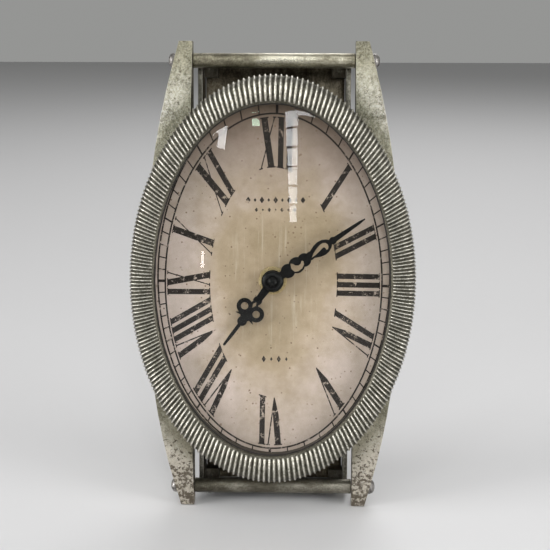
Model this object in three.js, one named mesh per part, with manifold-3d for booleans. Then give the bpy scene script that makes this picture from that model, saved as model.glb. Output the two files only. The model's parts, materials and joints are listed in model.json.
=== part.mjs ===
// A table clock in the shape of an oval wristwatch head, cast in aluminium, leaning back on its
// two lower lugs and on the rear tray that holds it up. Millimetres, +Z up, the dial faces -Y.
//
// The pieces are placed in the clock's own frame: X to the viewer's right, Y back from the crest
// of the bezel, Z up from the centre of the dial. The whole clock is then leaned back and set down.
import * as THREE from 'three';
import { mergeVertices } from 'three/addons/utils/BufferGeometryUtils.js';
import Module from 'manifold-3d';

const wasm = await Module();
wasm.setup();

// ---- Driving dimensions ----

const GAP = 0.3; // between any two pieces that rest on or fit in each other
const LEAN = THREE.MathUtils.degToRad(8);

// Ovals are [half width, half height].
const SIGHT_OVAL = [74, 111];
const BEZEL_FACE = [16, 18]; // ribbed face, across and up
const BEZEL_DEPTH = 12;
const LIP_DEPTH = 4.8; // front of the bezel to the back of its lip
const BEZEL_ROUND = 6.5; // depth over which the bezel's outer edge rounds back
const SEAT_WIDTH = 3.7; // how far the glass and dial reach under the lip
const CASE_INSET = 3.5; // bezel overhang past the case

const GASKET_THICKNESS = 1;
const GASKET_SHOW = 0.6; // how far the gasket stands in from the lip
const GLASS_THICKNESS = 2.5;
const GLASS_RISE = 15;
const SPACER_DEPTH = 5.8;
const SPACER_REVEAL = 0.6; // how far the spacer stands back from the sight opening
const PAPER_THICKNESS = 0.4;
const PLATE_THICKNESS = 1.2;

const CASE_DEPTH = 23.7;
const LEDGE_WIDTH = 5; // shelf in the case that carries the dial
const LUG_GAP = 103; // between the inner faces of a pair of lugs
const LUG_TIP_WIDTH = 8.5;
const LUG_TIP_DEPTH = 9; // front to back at the tip
const LUG_BULGE = 1.6; // of the lug's outer edge, out from its chord
const LUG_ROOT_HEIGHT = 56; // where the lug's outer edge runs out of the case
const LUG_PAST_BAR = 12; // from the bar's axis to the lug's tip
const SHOULDER_BELOW_TIP = 65; // where the lug's front starts to fall back
const KNEE_BELOW_TIP = 32;
const KNEE_DROP = 4.7;

const BAR_RADIUS = 4.75;
const STRAP_GAP = 7.75; // case to bar
const SCREW_HEAD_RADIUS = 4.75;
const SCREW_HEAD_HEIGHT = 3.4;
const SCREW_SHANK_RADIUS = 2;
const SCREW_REACH = 12; // of the shank into the bar
const SCREW_SEAT = 10.4; // lug's inner face to the face that the head sits on

const BACK_THICKNESS = 2;
const BACK_WINDOW_RIM = 4; // tray's inner wall to the window
const BACK_WINDOW_LEDGE = 5.5; // case opening to the window's corners
const TRAY_CLEARANCE = 2.5; // lug to tray, each side
const TRAY_WALL = 3;
const TRAY_PAST_BAR = 2; // from the upper bar's axis to the tray's top
const TRAY_DEPTH = 29.4;
const TRAY_TAB = [14, 12, 3]; // width, height and thickness of a screw tab
const COVER_THICKNESS = 2;
const COVER_RECESS = 1.3; // tray's rear edge to the cover
const COVER_RIM = 8; // tray's inner wall to the access window
const COVER_WINDOW_HEIGHT = 96;
const POST_SIZE = 9;
const SMALL_SCREW = { head: 3.2, height: 2, shank: 1.5, length: 12 };

const MOVEMENT_SIZE = [56, 56, 15];
const MOVEMENT_RISE = 20; // of the case above the hand arbor
const MOVEMENT_WALL = 1.5;
const BATTERY_RADIUS = 7.1;
const BATTERY_LENGTH = 49;
const BUSHING_RADIUS = 4;
const PIPE_RADIUS = 2.6; // of the hour wheel
const ARBOR_RADIUS = 1.6; // of the minute pinion
const PIVOT_RADIUS = 0.6;
const PIVOT_REACH = 0.7; // of a pivot into its hole
const KNOB_RADIUS = 7;
const KNOB_DEPTH = 4;
const KNOB_SHAFT_RADIUS = 1.2;
const WASHER_RADIUS = 9;
const WASHER_THICKNESS = 0.8;
const NUT_FLATS = 11;
const NUT_HEIGHT = 2;
const RUBBER_RADIUS = 10;
const RUBBER_THICKNESS = 1;

const HAND_THICKNESS = 0.9;
const HAND_SPACING = 0.8; // hour hand to minute hand
const HAND_CLEARANCE = 4; // minute hand's tip to the sight opening, at a quarter past
const HOUR_SHORTFALL = 18.5; // of the hour hand
const MINUTE_ANGLE = THREE.MathUtils.degToRad(56); // clockwise from twelve
const HOUR_ANGLE = THREE.MathUtils.degToRad(216);
const CAP_RADIUS = 3.4;
const CAP_HEIGHT = 3.2;

const OVAL_STEPS = 48;
const ROUND_STEPS = 20;
const SMALL_STEPS = 12;

// ---- Geometry helpers ----

function toSolid(geometry) {
  const bare = geometry.clone();
  bare.deleteAttribute('normal');
  bare.deleteAttribute('uv');
  const merged = mergeVertices(bare);
  return new wasm.Manifold(new wasm.Mesh({
    numProp: 3,
    vertProperties: new Float32Array(merged.attributes.position.array),
    triVerts: new Uint32Array(merged.index.array),
  }));
}

function toGeometry(solid) {
  const mesh = solid.getMesh();
  const geometry = new THREE.BufferGeometry();
  geometry.setAttribute('position', new THREE.BufferAttribute(mesh.vertProperties, 3));
  geometry.setIndex(new THREE.BufferAttribute(mesh.triVerts, 1));
  geometry.computeVertexNormals();
  return geometry;
}

function join(...geometries) {
  return toGeometry(geometries.map(toSolid).reduce((whole, next) => whole.add(next)));
}

function cut(geometry, ...tools) {
  return toGeometry(tools.map(toSolid).reduce((rest, tool) => rest.subtract(tool), toSolid(geometry)));
}

function common(geometry, tool) {
  return toGeometry(toSolid(geometry).intersect(toSolid(tool)));
}

function grow([width, height], margin) {
  return [width + margin, height + margin];
}

// The oval part of the way from one oval to another.
function between(inner, outer, part) {
  return inner.map((size, axis) => THREE.MathUtils.lerp(size, outer[axis], part));
}

// A solid whose section is an oval at every depth. Each point of the section is [oval, depth];
// the section closes on itself, or starts and ends on the axis with the oval [0, 0].
function oval(section, steps = OVAL_STEPS) {
  const closed = section[0][0][1] > 0;
  const points = section.map(([size, depth]) => new THREE.Vector2(size[1], depth));
  const widths = section.map(([size]) => (size[1] > 0 ? size[0] / size[1] : 1));
  if (THREE.ShapeUtils.area(points) < 0) {
    points.reverse();
    widths.reverse();
  }
  if (closed) {
    points.push(points[0]);
    widths.push(widths[0]);
  }
  const geometry = new THREE.LatheGeometry(points, steps);
  const position = geometry.attributes.position;
  for (let index = 0; index < position.count; index += 1) {
    position.setX(index, position.getX(index) * widths[index % points.length]);
  }
  return geometry;
}

// The same for round pieces: each point is [radius, depth].
function turned(section, steps = ROUND_STEPS) {
  return oval(section.map(([radius, depth]) => [[radius, radius], depth]), steps);
}

function rod(radius, front, back, steps = SMALL_STEPS) {
  return turned([[0, front], [radius, front], [radius, back], [0, back]], steps);
}

// A flat shape drawn in X and Z, as thick as the way from front to back.
function plate(shape, front, back, curveSegments = 6) {
  const geometry = new THREE.ExtrudeGeometry(shape, {
    depth: back - front,
    bevelEnabled: false,
    curveSegments,
  });
  return geometry.rotateX(Math.PI / 2).translate(0, back, 0);
}

function block([left, right], [front, back], [low, high]) {
  const geometry = new THREE.BoxGeometry(right - left, back - front, high - low);
  return geometry.translate((left + right) / 2, (front + back) / 2, (low + high) / 2);
}

function polygon(points) {
  return new THREE.Shape(points.map(([x, z]) => new THREE.Vector2(x, z)));
}

// ---- Ovals and heights ----

const bezelOval = SIGHT_OVAL.map((size, axis) => size + BEZEL_FACE[axis]);
const caseOval = grow(bezelOval, -CASE_INSET);
const seatOval = grow(SIGHT_OVAL, SEAT_WIDTH);
const boreOval = grow(seatOval, GAP);
const ledgeOval = grow(seatOval, -LEDGE_WIDTH);
const ovalHeight = (size, x) => size[1] * Math.sqrt(1 - (x / size[0]) ** 2);
const barHeight = caseOval[1] + STRAP_GAP + BAR_RADIUS;
const lugTipHeight = barHeight + LUG_PAST_BAR;
const minuteLength = SIGHT_OVAL[0] - HAND_CLEARANCE;
const hourLength = minuteLength - HOUR_SHORTFALL;

// ---- Depths of the stack, from the front to the back ----

const gasketFront = LIP_DEPTH + GAP;
const glassFront = gasketFront + GASKET_THICKNESS + GAP;
const glassBack = glassFront + GLASS_THICKNESS;
const spacerFront = glassBack + GAP;
const paperFront = spacerFront + SPACER_DEPTH + GAP;
const plateFront = paperFront + PAPER_THICKNESS + GAP;
const ledge = plateFront + PLATE_THICKNESS + GAP;
const caseFront = BEZEL_DEPTH + GAP;
const caseBack = caseFront + CASE_DEPTH;
const backFront = caseBack + GAP;
const trayFront = backFront + BACK_THICKNESS + GAP;
const trayBack = trayFront + TRAY_DEPTH;
const movementFront = ledge + RUBBER_THICKNESS + GAP;
const movementBack = movementFront + MOVEMENT_SIZE[2];

// The clock stands on a plane through the middle of the lower lugs' tips, leaned with it.
const footDepth = caseBack - LUG_TIP_DEPTH / 2;
const groundAt = (depth) => (depth - footDepth) * Math.tan(LEAN) - lugTipHeight;

const clock = new THREE.Group();

function add(name, geometry, colour, roughness, metalness) {
  const material = new THREE.MeshStandardMaterial({ color: colour, roughness, metalness });
  const mesh = new THREE.Mesh(geometry, material);
  mesh.name = name;
  clock.add(mesh);
  return mesh;
}

// ---- Screws ----

// A slotted screw with a domed head, pointing along +Y from the face that its head sits on.
function screwGeometry({ head, height, shank, length }) {
  const body = turned([
    [0, -height],
    [head * 0.7, -height * 0.8],
    [head, -height * 0.2],
    [head, 0],
    [shank, 0],
    [shank, length],
    [0, length],
  ], SMALL_STEPS);
  const slot = block([-head - 1, head + 1], [-height - 1, -height * 0.6], [-head / 9, head / 9]);
  return cut(body, slot);
}

const smallHole = SMALL_SCREW.shank + GAP;

// The four corners of a rectangle about the axis, for pieces that come in fours.
const corners = [[-1, 1], [1, 1], [-1, -1], [1, -1]];

// ---- Bezel, glass and dial ----

const bezelFaces = [
  [0, 3],
  [0.08, 1.4],
  [0.22, 0.4],
  [0.42, 0],
  [0.66, 0.5],
  [0.86, 2.2],
  [0.97, 4.4],
  [1, BEZEL_ROUND],
];
const bezelSection = [
  ...bezelFaces.map(([part, depth]) => [between(SIGHT_OVAL, bezelOval, part), depth]),
  [bezelOval, BEZEL_DEPTH],
  [boreOval, BEZEL_DEPTH],
  [boreOval, LIP_DEPTH],
  [SIGHT_OVAL, LIP_DEPTH],
];

// The bezel screws go in from behind, through the case, halfway across its front face.
const screwOval = between(boreOval, caseOval, 0.5);
const bezelScrewTurn = THREE.MathUtils.degToRad(25);
const bezelScrewHead = caseBack - SMALL_SCREW.height - 1;
const bezelScrew = { ...SMALL_SCREW, length: bezelScrewHead - BEZEL_ROUND - 2 };
const bezelScrewPlaces = corners.map(([side, end]) => [
  side * screwOval[0] * Math.cos(bezelScrewTurn),
  end * screwOval[1] * Math.sin(bezelScrewTurn),
]);
const bezelScrewHoles = bezelScrewPlaces.map(([x, z]) => join(
  rod(smallHole, BEZEL_ROUND + 1.5, bezelScrewHead + 1),
  rod(SMALL_SCREW.head + GAP, bezelScrewHead, caseBack + 1),
).translate(x, 0, z));

add('bezel', cut(oval(bezelSection), ...bezelScrewHoles), 0xb4b0a6, 0.4, 0.9);

add('bezel_gasket', oval([
  [grow(SIGHT_OVAL, -GASKET_SHOW), gasketFront],
  [seatOval, gasketFront],
  [seatOval, gasketFront + GASKET_THICKNESS],
  [grow(SIGHT_OVAL, -GASKET_SHOW), gasketFront + GASKET_THICKNESS],
]), 0x1c1a18, 0.8, 0);

// The glass is a dome with a flat flange that is held between the gasket and the spacer.
const domeOval = grow(SIGHT_OVAL, -GASKET_SHOW - 0.6);
const domeRings = [0.9, 0.7, 0.4];
const domeDepth = (part, edge) => edge - GLASS_RISE * (1 - part * part);
add('glass_dome', oval([
  [[0, 0], domeDepth(0, glassFront)],
  ...domeRings.toReversed().map((part) => [domeOval.map((size) => size * part), domeDepth(part, glassFront)]),
  [domeOval, glassFront],
  [seatOval, glassFront],
  [seatOval, glassBack],
  [domeOval, glassBack],
  ...domeRings.map((part) => [domeOval.map((size) => size * part), domeDepth(part, glassBack)]),
  [[0, 0], domeDepth(0, glassBack)],
]), 0xdfe6e0, 0.05, 0);

add('spacer_ring', oval([
  [grow(SIGHT_OVAL, SPACER_REVEAL), spacerFront],
  [seatOval, spacerFront],
  [seatOval, spacerFront + SPACER_DEPTH],
  [grow(SIGHT_OVAL, SPACER_REVEAL), spacerFront + SPACER_DEPTH],
]), 0x2b2622, 0.7, 0);

const bushingHole = [BUSHING_RADIUS + GAP, BUSHING_RADIUS + GAP]; // an oval that is round
add('dial_paper', oval([
  [bushingHole, paperFront],
  [seatOval, paperFront],
  [seatOval, paperFront + PAPER_THICKNESS],
  [bushingHole, paperFront + PAPER_THICKNESS],
]), 0xb59a7c, 0.9, 0);
add('dial_plate', oval([
  [bushingHole, plateFront],
  [seatOval, plateFront],
  [seatOval, plateFront + PLATE_THICKNESS],
  [bushingHole, plateFront + PLATE_THICKNESS],
]), 0xa39a86, 0.5, 0.8);

// ---- Case with its four lugs ----

const lugInner = LUG_GAP / 2;
const lugTipOuter = lugInner + LUG_TIP_WIDTH;
const lugRootOuter = caseOval[0] * Math.sqrt(1 - (LUG_ROOT_HEIGHT / caseOval[1]) ** 2);

// One lug from the front, on the upper right: its inner edge is straight and its outer edge bows out.
function lugOutline() {
  const middle = [(lugTipOuter + lugRootOuter) / 2 + LUG_BULGE * 2, (lugTipHeight + LUG_ROOT_HEIGHT) / 2];
  const shape = new THREE.Shape();
  shape.moveTo(lugInner, LUG_ROOT_HEIGHT);
  shape.lineTo(lugRootOuter, LUG_ROOT_HEIGHT);
  shape.quadraticCurveTo(...middle, lugTipOuter, lugTipHeight);
  shape.lineTo(lugInner, lugTipHeight);
  return shape;
}

// The case from the side: flat behind, falling back in front from the shoulders to the lug tips.
// Its ends run past the tips, and the tips and the ground cut them off.
function sideOutline() {
  const tipFront = caseBack - LUG_TIP_DEPTH;
  const shoulder = lugTipHeight - SHOULDER_BELOW_TIP;
  const knee = lugTipHeight - KNEE_BELOW_TIP;
  const half = [
    [caseFront, shoulder],
    [caseFront + 1.6, (shoulder + knee) / 2],
    [caseFront + KNEE_DROP, knee],
    [tipFront - 3.6, (knee + lugTipHeight) / 2 + 3],
    [tipFront, lugTipHeight],
    [tipFront, lugTipHeight + 5],
    [caseBack, lugTipHeight + 5],
  ];
  const lower = half.map(([depth, height]) => [depth, -height]).toReversed();
  return polygon([...half, ...lower]);
}

function sidePlate(shape, halfWidth) {
  const geometry = new THREE.ExtrudeGeometry(shape, { depth: 2 * halfWidth, bevelEnabled: false });
  // Shape X is depth and shape Y is height, so the sheet turns to lie across X.
  geometry.applyMatrix4(new THREE.Matrix4().set(0, 0, 1, -halfWidth, 1, 0, 0, 0, 0, 1, 0, 0, 0, 0, 0, 1));
  return geometry;
}

const upperLug = plate(lugOutline(), caseFront, caseBack);
const lugs = corners.map(([side, end]) => {
  const turn = end > 0 ? 0 : Math.PI;
  const lug = side * end > 0 ? upperLug.clone() : toGeometry(toSolid(upperLug).mirror([1, 0, 0]));
  return lug.rotateY(turn);
});
const caseRing = oval([
  [boreOval, caseFront],
  [caseOval, caseFront],
  [caseOval, caseBack],
  [ledgeOval, caseBack],
  [ledgeOval, ledge],
  [boreOval, ledge],
]);
const caseOpening = oval([
  [[0, 0], caseFront - 1],
  [boreOval, caseFront - 1],
  [boreOval, ledge],
  [ledgeOval, ledge],
  [ledgeOval, caseBack + 1],
  [[0, 0], caseBack + 1],
]);

// The lower lugs' tips are ground flat on the plane that the clock stands on.
const ground = polygon([
  [-50, groundAt(-50)],
  [150, groundAt(150)],
  [150, groundAt(150) - 60],
  [-50, groundAt(-50) - 60],
]);

// The bars are held by screws that go in through the lugs. The heads sit on flats cut into the lugs.
const barDepth = caseBack - BAR_RADIUS;
const screwSeat = lugInner + SCREW_SEAT;
const lugScrew = {
  head: SCREW_HEAD_RADIUS,
  height: SCREW_HEAD_HEIGHT,
  shank: SCREW_SHANK_RADIUS,
  length: SCREW_SEAT + GAP + SCREW_REACH,
};
const lugHole = lugScrew.shank + GAP;
const alongX = (geometry) => geometry.rotateZ(-Math.PI / 2);
const lugHoles = [1, -1].flatMap((end) => [
  alongX(rod(lugHole, -lugRootOuter, lugRootOuter)).translate(0, barDepth, end * barHeight),
  ...[1, -1].map((side) => alongX(rod(lugScrew.head + 2 * GAP, screwSeat, screwSeat + 20, ROUND_STEPS))
    .rotateZ(side > 0 ? 0 : Math.PI)
    .translate(0, barDepth, end * barHeight)),
]);

const trayHalf = LUG_GAP / 2 - TRAY_CLEARANCE;
const trayInner = trayHalf - TRAY_WALL;
const tabX = trayInner - TRAY_TAB[0] / 2;
const tabHeight = (ovalHeight(caseOval, tabX) + ovalHeight(ledgeOval, tabX)) / 2;
const trayScrewHead = trayFront + TRAY_TAB[2] + GAP;
const trayScrew = { ...SMALL_SCREW, length: trayScrewHead - caseBack + 8 };
const trayScrewHoles = corners.map(([side, end]) => (
  rod(smallHole, caseBack - 9, trayScrewHead + 1).translate(side * tabX, 0, end * tabHeight)
));

const caseBlank = common(join(caseRing, ...lugs), sidePlate(sideOutline(), lugRootOuter + 40));
add('case_body', cut(
  caseBlank,
  caseOpening,
  sidePlate(ground, 120),
  ...lugHoles,
  ...bezelScrewHoles,
  ...trayScrewHoles,
), 0x9b9a92, 0.45, 0.85);

corners.forEach(([side, end], index) => {
  const screw = add(`lug_screw_${index + 1}`, screwGeometry(lugScrew), 0x8f8a80, 0.35, 0.95);
  screw.rotation.z = side > 0 ? Math.PI / 2 : -Math.PI / 2;
  screw.position.set(side * (screwSeat + GAP), barDepth, end * barHeight);
});
bezelScrewPlaces.forEach(([x, z], index) => {
  const screw = add(`bezel_screw_${index + 1}`, screwGeometry(bezelScrew), 0x7d786c, 0.4, 0.9);
  screw.rotation.z = Math.PI;
  screw.position.set(x, bezelScrewHead + GAP, z);
});

[['upper_bar', 1], ['lower_bar', -1]].forEach(([name, end]) => {
  const reach = LUG_GAP / 2 - GAP;
  const bottom = reach - SCREW_REACH - 2;
  const bar = turned([
    [0, -bottom],
    [lugHole, -bottom],
    [lugHole, -reach],
    [BAR_RADIUS - 0.5, -reach],
    [BAR_RADIUS, 0.5 - reach],
    [BAR_RADIUS, reach - 0.5],
    [BAR_RADIUS - 0.5, reach],
    [lugHole, reach],
    [lugHole, bottom],
    [0, bottom],
  ]);
  const mesh = add(name, alongX(bar), 0x9c9483, 0.35, 0.95);
  mesh.position.set(0, barDepth, end * barHeight);
});

// ---- Case back, tray and cover ----

const windowHalf = trayInner - BACK_WINDOW_RIM;
const windowTop = ovalHeight(ledgeOval, windowHalf) - BACK_WINDOW_LEDGE;
const backWindow = block([-windowHalf, windowHalf], [caseBack, trayFront + 1], [-windowTop, windowTop]);
const backBlank = oval([
  [[0, 0], backFront],
  [caseOval, backFront],
  [caseOval, backFront + BACK_THICKNESS],
  [[0, 0], backFront + BACK_THICKNESS],
]);
add('case_back', cut(backBlank, backWindow, ...trayScrewHoles), 0x4a423a, 0.6, 0.7);

const trayBottom = groundAt(trayBack);
const trayTop = barHeight + TRAY_PAST_BAR;
const coverBack = trayBack - COVER_RECESS;
const coverFront = coverBack - COVER_THICKNESS;
const postX = trayInner - POST_SIZE / 2;
const postHeights = [trayBottom + TRAY_WALL + POST_SIZE / 2, trayTop - TRAY_WALL - POST_SIZE / 2];
const postPlaces = [-1, 1].flatMap((side) => postHeights.map((height) => [side * postX, height]));
const coverScrewHoles = postPlaces.map(([x, z]) => (
  rod(smallHole, coverFront - SMALL_SCREW.length, trayBack + 1).translate(x, 0, z)
));
const trayWalls = cut(
  block([-trayHalf, trayHalf], [trayFront, trayBack], [trayBottom, trayTop]),
  block(
    [-trayInner, trayInner],
    [trayFront - 1, trayBack + 1],
    [trayBottom + TRAY_WALL, trayTop - TRAY_WALL],
  ),
);
const overlap = TRAY_WALL / 2; // by which tabs and posts grow into the walls that carry them
const tabs = corners.map(([side, end]) => block(
  side > 0 ? [trayInner - TRAY_TAB[0], trayInner + overlap] : [-trayInner - overlap, TRAY_TAB[0] - trayInner],
  [trayFront, trayFront + TRAY_TAB[2]],
  [end * tabHeight - TRAY_TAB[1] / 2, end * tabHeight + TRAY_TAB[1] / 2],
));
const posts = postPlaces.map(([x, z]) => block(
  x > 0 ? [x - POST_SIZE / 2, trayInner + overlap] : [-trayInner - overlap, x + POST_SIZE / 2],
  [coverFront - GAP - SMALL_SCREW.length, coverFront - GAP],
  [z - POST_SIZE / 2, z + POST_SIZE / 2],
));
const trayBlank = join(trayWalls, ...tabs, ...posts);
add('rear_tray', cut(trayBlank, ...trayScrewHoles, ...coverScrewHoles), 0x5a544c, 0.5, 0.8);
add('rear_cover', cut(
  block(
    [GAP - trayInner, trayInner - GAP],
    [coverFront, coverBack],
    [trayBottom + TRAY_WALL + GAP, trayTop - TRAY_WALL - GAP],
  ),
  block(
    [COVER_RIM - trayInner, trayInner - COVER_RIM],
    [coverFront - 1, coverBack + 1],
    [-COVER_WINDOW_HEIGHT / 2, COVER_WINDOW_HEIGHT / 2],
  ),
  ...coverScrewHoles,
), 0x33281f, 0.7, 0.4);

const screwRows = [
  ['tray_screw', trayScrew, trayScrewHead, corners.map(([side, end]) => [side * tabX, end * tabHeight])],
  ['cover_screw', { ...SMALL_SCREW, length: SMALL_SCREW.length - 2 }, coverBack + GAP, postPlaces],
];
screwRows.forEach(([name, screw, seat, places]) => {
  places.forEach(([x, z], index) => {
    const mesh = add(`${name}_${index + 1}`, screwGeometry(screw), 0x6f6a60, 0.4, 0.9);
    mesh.rotation.z = Math.PI;
    mesh.position.set(x, seat, z);
  });
});

// ---- Hands ----

const washerBack = paperFront - GAP;
const washerFront = washerBack - WASHER_THICKNESS;
const nutFront = washerFront - GAP - NUT_HEIGHT;
const bushingFront = nutFront - GAP;
const hourBack = bushingFront - GAP;
const hourFront = hourBack - HAND_THICKNESS;
const pipeFront = hourFront - GAP;
const minuteBack = hourFront - HAND_SPACING;
const minuteFront = minuteBack - HAND_THICKNESS;
const capBack = minuteFront - GAP;
const arborFront = capBack - CAP_HEIGHT + 1.2;

// A hand is drawn pointing up and then turned clockwise from twelve. Discs and holes are
// [x, z, radius]; the plates are outlines.
function handGeometry({ discs, plates, holes, front, back, angle }) {
  const round = (list, margin, steps) => list.map(([x, z, radius]) => (
    rod(radius, front - margin, back + margin, steps).translate(x, 0, z)
  ));
  const flat = plates.map((outline) => plate(polygon(outline), front, back));
  return cut(join(...round(discs, 0, 16), ...flat), ...round(holes, 1, SMALL_STEPS)).rotateY(angle);
}

const mirrored = (half) => [...half, ...half.map(([x, z]) => [-x, z]).toReversed()];

// The minute hand: a scalloped body with an eye, a waist, an open loop, a collar and a long spear.
const minuteHand = handGeometry({
  discs: [[0, 0, 6], [0, 14, 3.9], [0, 19.5, 3.9], [0, 28.8, 1.9], [0, 34, 3.7], [0, 38, 3], [0, 46, 1.9]],
  plates: [
    mirrored([[2.2, 0], [1.5, 12], [1.2, 28], [1.2, 31]]),
    mirrored([[1.5, 40], [1.5, 47], [0.65, minuteLength - 1.5], [0.2, minuteLength]]),
  ],
  holes: [[0, 0, ARBOR_RADIUS + GAP], [0, 16.9, 1.9], [0, 34.3, 2.2]],
  front: minuteFront,
  back: minuteBack,
  angle: MINUTE_ANGLE,
});
add('minute_hand', minuteHand, 0x17130f, 0.5, 0.6);

// The hour hand: a neck with a collar, two rings side by side, two barbs, a collar and a spear.
const hourSpear = [[1.4, 34], [1, hourLength - 3], [0.3, hourLength]];
const hourHand = handGeometry({
  discs: [[0, 0, 7], [0, 17, 2.2], [-4.55, 24.6, 5.1], [4.55, 24.6, 5.1], [0, 33, 2]],
  plates: [
    mirrored([[2.2, 0], [1.3, 14], [1.3, 20], [3.4, 22.5]]),
    mirrored([[3.4, 23], [3, 29.5], [6.9, 30.7], [3.2, 31.6], ...hourSpear]),
  ],
  holes: [[0, 0, PIPE_RADIUS + GAP], [-4.55, 24.6, 2.4], [4.55, 24.6, 2.4]],
  front: hourFront,
  back: hourBack,
  angle: HOUR_ANGLE,
});
add('hour_hand', hourHand, 0x17130f, 0.5, 0.6);

add('hand_nut', turned([
  [0, capBack - CAP_HEIGHT],
  [CAP_RADIUS * 0.55, capBack - CAP_HEIGHT + 0.3],
  [CAP_RADIUS * 0.9, capBack - CAP_HEIGHT + 1.1],
  [CAP_RADIUS, capBack - 0.9],
  [CAP_RADIUS, capBack],
  [ARBOR_RADIUS + GAP, capBack],
  [ARBOR_RADIUS + GAP, arborFront - GAP],
  [0, arborFront - GAP],
]), 0x14110e, 0.3, 0.7);

// Everything that goes on the bushing is bored for it.
const bushingBore = BUSHING_RADIUS + GAP;
const washer = (radius, front, back) => (
  turned([[bushingBore, front], [radius, front], [radius, back], [bushingBore, back]])
);
add('dial_washer', washer(WASHER_RADIUS, washerFront, washerBack), 0x7a5c3a, 0.4, 0.9);
add('rubber_washer', washer(RUBBER_RADIUS, ledge, ledge + RUBBER_THICKNESS), 0x1d1d1d, 0.9, 0);

const nutCorner = NUT_FLATS / Math.sqrt(3);
const nutBlank = rod(nutCorner, nutFront, nutFront + NUT_HEIGHT, 6);
add('hex_nut', cut(nutBlank, rod(bushingBore, nutFront - 1, washerFront)), 0x8a6d42, 0.4, 0.9);

// ---- Quartz movement: case and battery ----

const caseHalf = MOVEMENT_SIZE[0] / 2;
const caseTop = MOVEMENT_RISE;
const caseBottom = MOVEMENT_RISE - MOVEMENT_SIZE[1];
const bayTop = caseBottom + 2 * BATTERY_RADIUS + MOVEMENT_WALL + 2 * GAP; // partition's lower face
const floorBack = movementFront + MOVEMENT_WALL;
const seam = movementFront + MOVEMENT_SIZE[2] / 2;
const lidFront = movementBack - MOVEMENT_WALL;
const bridgeFront = lidFront - 2.5;
const bridgeThickness = 1;

// The gear axes in X and Z, and the depths of the layers that the wheels turn in.
const layer = (index) => floorBack + 0.5 + index * 1.3;
const WHEEL_THICKNESS = 0.7;
const polar = ([x, z], distance, degrees) => [
  x + distance * Math.cos(THREE.MathUtils.degToRad(degrees)),
  z + distance * Math.sin(THREE.MathUtils.degToRad(degrees)),
];
const centre = [0, 0];

// Gears as [teeth, module].
const CANNON = [10, 0.5];
const MINUTE_WHEEL = [30, 0.5];
const MINUTE_PINION = [8, 0.5];
const HOUR_WHEEL = [32, 0.5];
const KNOB_PINION = [10, 0.5];
const CENTRE_WHEEL = [48, 0.4];
const THIRD_PINION = [6, 0.4];
const THIRD_WHEEL = [45, 0.4];
const FOURTH_PINION = [6, 0.4];
const FOURTH_WHEEL = [42, 0.43];
const FIFTH_PINION = [7, 0.43];
const FIFTH_WHEEL = [30, 0.35];
const ROTOR_PINION = [6, 0.35];

const pitchRadius = ([teeth, size]) => teeth * size / 2;
const meshDistance = (first, second) => pitchRadius(first) + pitchRadius(second);

const minuteDirection = 217;
const knobDirection = 143;
const thirdDirection = -27;
const fifthDirection = 135;
const rotorDirection = 150;
const minuteAxis = polar(centre, meshDistance(CANNON, MINUTE_WHEEL), minuteDirection);
const knobAxis = polar(minuteAxis, meshDistance(MINUTE_WHEEL, KNOB_PINION), knobDirection);
const thirdAxis = polar(centre, meshDistance(CENTRE_WHEEL, THIRD_PINION), thirdDirection);
const fourthDirection = 153; // from the third wheel
const fourthAxis = polar(thirdAxis, meshDistance(THIRD_WHEEL, FOURTH_PINION), fourthDirection);
const fifthAxis = polar(fourthAxis, meshDistance(FOURTH_WHEEL, FIFTH_PINION), fifthDirection);
const rotorAxis = polar(fifthAxis, meshDistance(FIFTH_WHEEL, ROTOR_PINION), rotorDirection);

// A gear's outline about its own axis. The first tooth points at the start angle.
function gearShape(gear, start) {
  const [teeth, size] = gear;
  const pitch = 2 * Math.PI / teeth;
  const profile = [[-0.24, -1.15], [-0.1, 0.75], [0.1, 0.75], [0.24, -1.15]];
  const points = Array.from({ length: teeth }, (unused, tooth) => profile.map(([across, rise]) => {
    const angle = start + (tooth + across) * pitch;
    const radius = pitchRadius(gear) + rise * size;
    return [radius * Math.cos(angle), radius * Math.sin(angle)];
  })).flat();
  return polygon(points);
}

const gear = (kind, start, front, thickness = WHEEL_THICKNESS) => (
  plate(gearShape(kind, start), front, front + thickness)
);

// The start angle that sets a gear's gap opposite its mate's tooth, across the line between them.
function meshed(mate, mateStart, kind, degrees) {
  const direction = THREE.MathUtils.degToRad(degrees);
  const matePitch = 2 * Math.PI / mate[0];
  const pitch = 2 * Math.PI / kind[0];
  return direction + Math.PI - pitch * (0.5 - (direction - mateStart) / matePitch);
}

const onAxis = (geometry, [x, z]) => geometry.translate(x, 0, z);
const pivotHole = (axis, front, back) => onAxis(rod(PIVOT_RADIUS + GAP, front, back, 8), axis);
const frontPivots = [minuteAxis, knobAxis, thirdAxis, rotorAxis];

const frontShell = cut(
  join(
    block([-caseHalf, caseHalf], [movementFront, seam], [caseBottom, caseTop]),
    rod(BUSHING_RADIUS, bushingFront, movementFront + 1, ROUND_STEPS),
  ),
  block(
    [MOVEMENT_WALL - caseHalf, caseHalf - MOVEMENT_WALL],
    [floorBack, seam + 1],
    [bayTop + MOVEMENT_WALL, caseTop - MOVEMENT_WALL],
  ),
  block(
    [MOVEMENT_WALL - caseHalf, caseHalf - MOVEMENT_WALL],
    [movementFront + GAP, seam + 1],
    [caseBottom + MOVEMENT_WALL - GAP, bayTop],
  ),
  rod(PIPE_RADIUS + GAP, bushingFront - 1, floorBack + 1, ROUND_STEPS),
  ...frontPivots.map((axis) => pivotHole(axis, floorBack - 1, floorBack + 1)),
);
add('movement_case_front', frontShell, 0x202022, 0.6, 0);

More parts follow.
